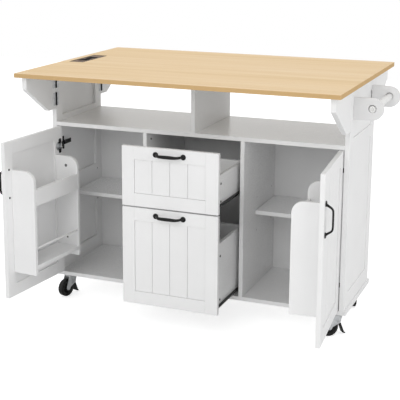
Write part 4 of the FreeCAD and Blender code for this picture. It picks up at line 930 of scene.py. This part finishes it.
def fastened(name, head, look, points, body="cabinet", turn=Matrix()):
    """One kind of fastener on one body; points are (place, facing) in millimetres, before the turn."""
    slot, material = look
    tree = bolt_heads if head == "bolt" else screw_heads
    mesh = bpy.data.meshes.new(name)
    mesh.from_pydata([turn @ Vector(place) * MM for place, facing in points], [], [])
    mesh.attributes.new("facing", "FLOAT_VECTOR", "POINT")
    for entry, (place, facing) in zip(mesh.attributes["facing"].data, points):
        entry.vector = turn.to_3x3() @ Vector(facing)
    piece = added(name, mesh)
    maker = piece.modifiers.new("fasteners", "NODES")
    maker.node_group = tree
    values = {label: size * MM for label, size in zip(HEAD_SIZES, HEADS[head])}
    values["Finish"] = material
    for socket in tree.interface.items_tree:
        if socket.in_out == "INPUT" and socket.name in values:
            maker[socket.identifier] = values[socket.name]
    baked(piece)
    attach(piece, body)


def fasten_brackets():
    """Countersunk screws in the swinging leaves, and in the fixed ones on the cabinet."""
    spots = [(y, low + rise) for low in BUTT_LOWS for y, rise in ((9, 8), (14, 25), (9, 42))]
    fixed = []
    for corner in CORNERS:
        turn = corner_turn(corner)
        swinging = [((LEAF[1], -y, z), (1, 0, 0)) for y, z in spots]
        fastened(f"{corner}_bracket_screws", "leaf", hinge_zinc, swinging, f"{corner}_bracket", turn)
        fixed += [(turn @ Vector((LEAF[1], y, z)), turn.to_3x3() @ Vector((1, 0, 0))) for y, z in spots]
    fastened("bracket_leaf_screws", "leaf", hinge_zinc, fixed)


def fasten_doors():
    """Screws of the cups, handles and racks on the doors, and of the hinge plates on the ends."""
    def across_rack(y, z):
        return [((RACK_INSIDE[0], y, z), (1, 0, 0)), ((RACK_INSIDE[1], y, z), (-1, 0, 0))]

    cups = [((DOOR_EDGE + 12, DOOR_BACK + 1.2, height + rise), (0, 1, 0))
            for height in HINGE_HEIGHTS for rise in (-23, 23)]
    handle = [((HANDLE_X, DOOR_BACK, HANDLE_Z + way * HANDLE_HALF), (0, 1, 0)) for way in BOTH_WAYS]
    kinds = (("hinge_cup_screws", "cup", black_steel, cups), ("handle_screws", "handle", black_steel, handle),
             ("rack_cams", "cam", cam_plastic, across_rack(60.7, 552.4)),
             ("rack_screws", "rack", black_steel, across_rack(62.2, 268.9)))
    plates = []
    for side, hand in HANDS.items():
        for kind, head, look, points in kinds:
            fastened(f"{side}_{kind}", head, look, points, f"{side}_door", door_turn(side))
        for height in HINGE_HEIGHTS:
            for inset, y, rise in ((2, 46, -18), (2, 46, 18), (9, 48, 0)):
                plates.append(((-hand * (INSIDE - inset), PIVOT_Y + y, height + rise), (hand, 0, 0)))
    fastened("hinge_plate_screws", "plate", black_steel, plates)


def fasten_boards():
    """Connectors of the drawers and the bay, and the screws and bolts of the cabinet."""
    for name, rows in {"upper": (575, 511), "lower": (313, 152)}.items():
        connectors = [((hand * BOX_HALF, -349, z), (hand, 0, 0)) for z in rows for hand in BOTH_WAYS]
        fastened(f"{name}_drawer_connectors", "drawer", black_steel, connectors, f"{name}_drawer")
    bay = [((hand * BAY_HALF, -147, 665), (-hand, 0, 0)) for hand in BOTH_WAYS]
    fastened("bay_connectors", "bay", black_steel, bay)
    back = [(x, z) for z in (101.5, 701.5) for x in range(-522, 523, 174)]
    back += [(x, z) for x in (-191.5, 191.5) for z in (240, 370, 500, 630)]
    fastened("back_panel_screws", "back", caster_zinc, [((x, BACK, z), (0, 1, 0)) for x, z in back])
    bolts = [((-hand * CASTER_X + across, -facing * CASTER_Y + along, 91), (0, 0, -1))
             for hand, facing in CORNERS.values() for across in (-20, 20) for along in (-20, 20)]
    fastened("caster_plate_bolts", "bolt", caster_zinc, bolts)
    towel = [((TOWEL_X, -151.5, TOWEL_Z), (0, -1, 0)), ((TOWEL_X, TOWEL_BOARDS[1][1], TOWEL_Z), (0, 1, 0))]
    fastened("towel_rail_screws", "towel", caster_zinc, towel)


make_boards()
make_ends()
line_pin_holes()
make_towel_rack()
make_drawers()
make_doors()
make_cups()
make_brackets()
make_fixed_leaves()
for corner in CORNERS:
    at_swivel = caster_turn(corner)
    make_fork(corner, at_swivel)
    make_wheel(corner, at_swivel)
    if corner.startswith("front"):
        make_brake(corner, at_swivel)
make_power_unit()
fasten_brackets()
fasten_doors()
fasten_boards()

dress(oak, "worktop")
dress(black_abs, "power_housing")
dress(caster_zinc, "shelf_pins", "caster_plates")
dress(black_steel, "door_hinge_arms", "drawer_slide_rails", "upper_drawer_runners", "lower_drawer_runners")


# Floor

def lay_floor():
    """A pale floor that keeps the object's soft shadow."""
    half, lift = 6, 0.62
    mesh = bpy.data.meshes.new("floor")
    mesh.from_pydata([(-half, -half, 0), (half, -half, 0), (half, half, 0), (-half, half, 0)], [],
                     [(0, 1, 2, 3)])
    floor = added("floor", mesh)
    material, tree, shader = shader_of("pale_floor", "#F4F4F4", 0.9)
    glow = between(node(tree, "ShaderNodeLightPath").outputs["Is Camera Ray"], 0.0, lift)
    light = output(tree, "ShaderNodeEmission", {"Color": linear("#FFFFFF"), "Strength": glow})
    both = output(tree, "ShaderNodeAddShader", {0: shader.outputs[0], 1: light})
    surface = next(item for item in tree.nodes if item.type == "OUTPUT_MATERIAL").inputs["Surface"]
    tree.links.new(both, surface)
    mesh.materials.append(material)


lay_floor()
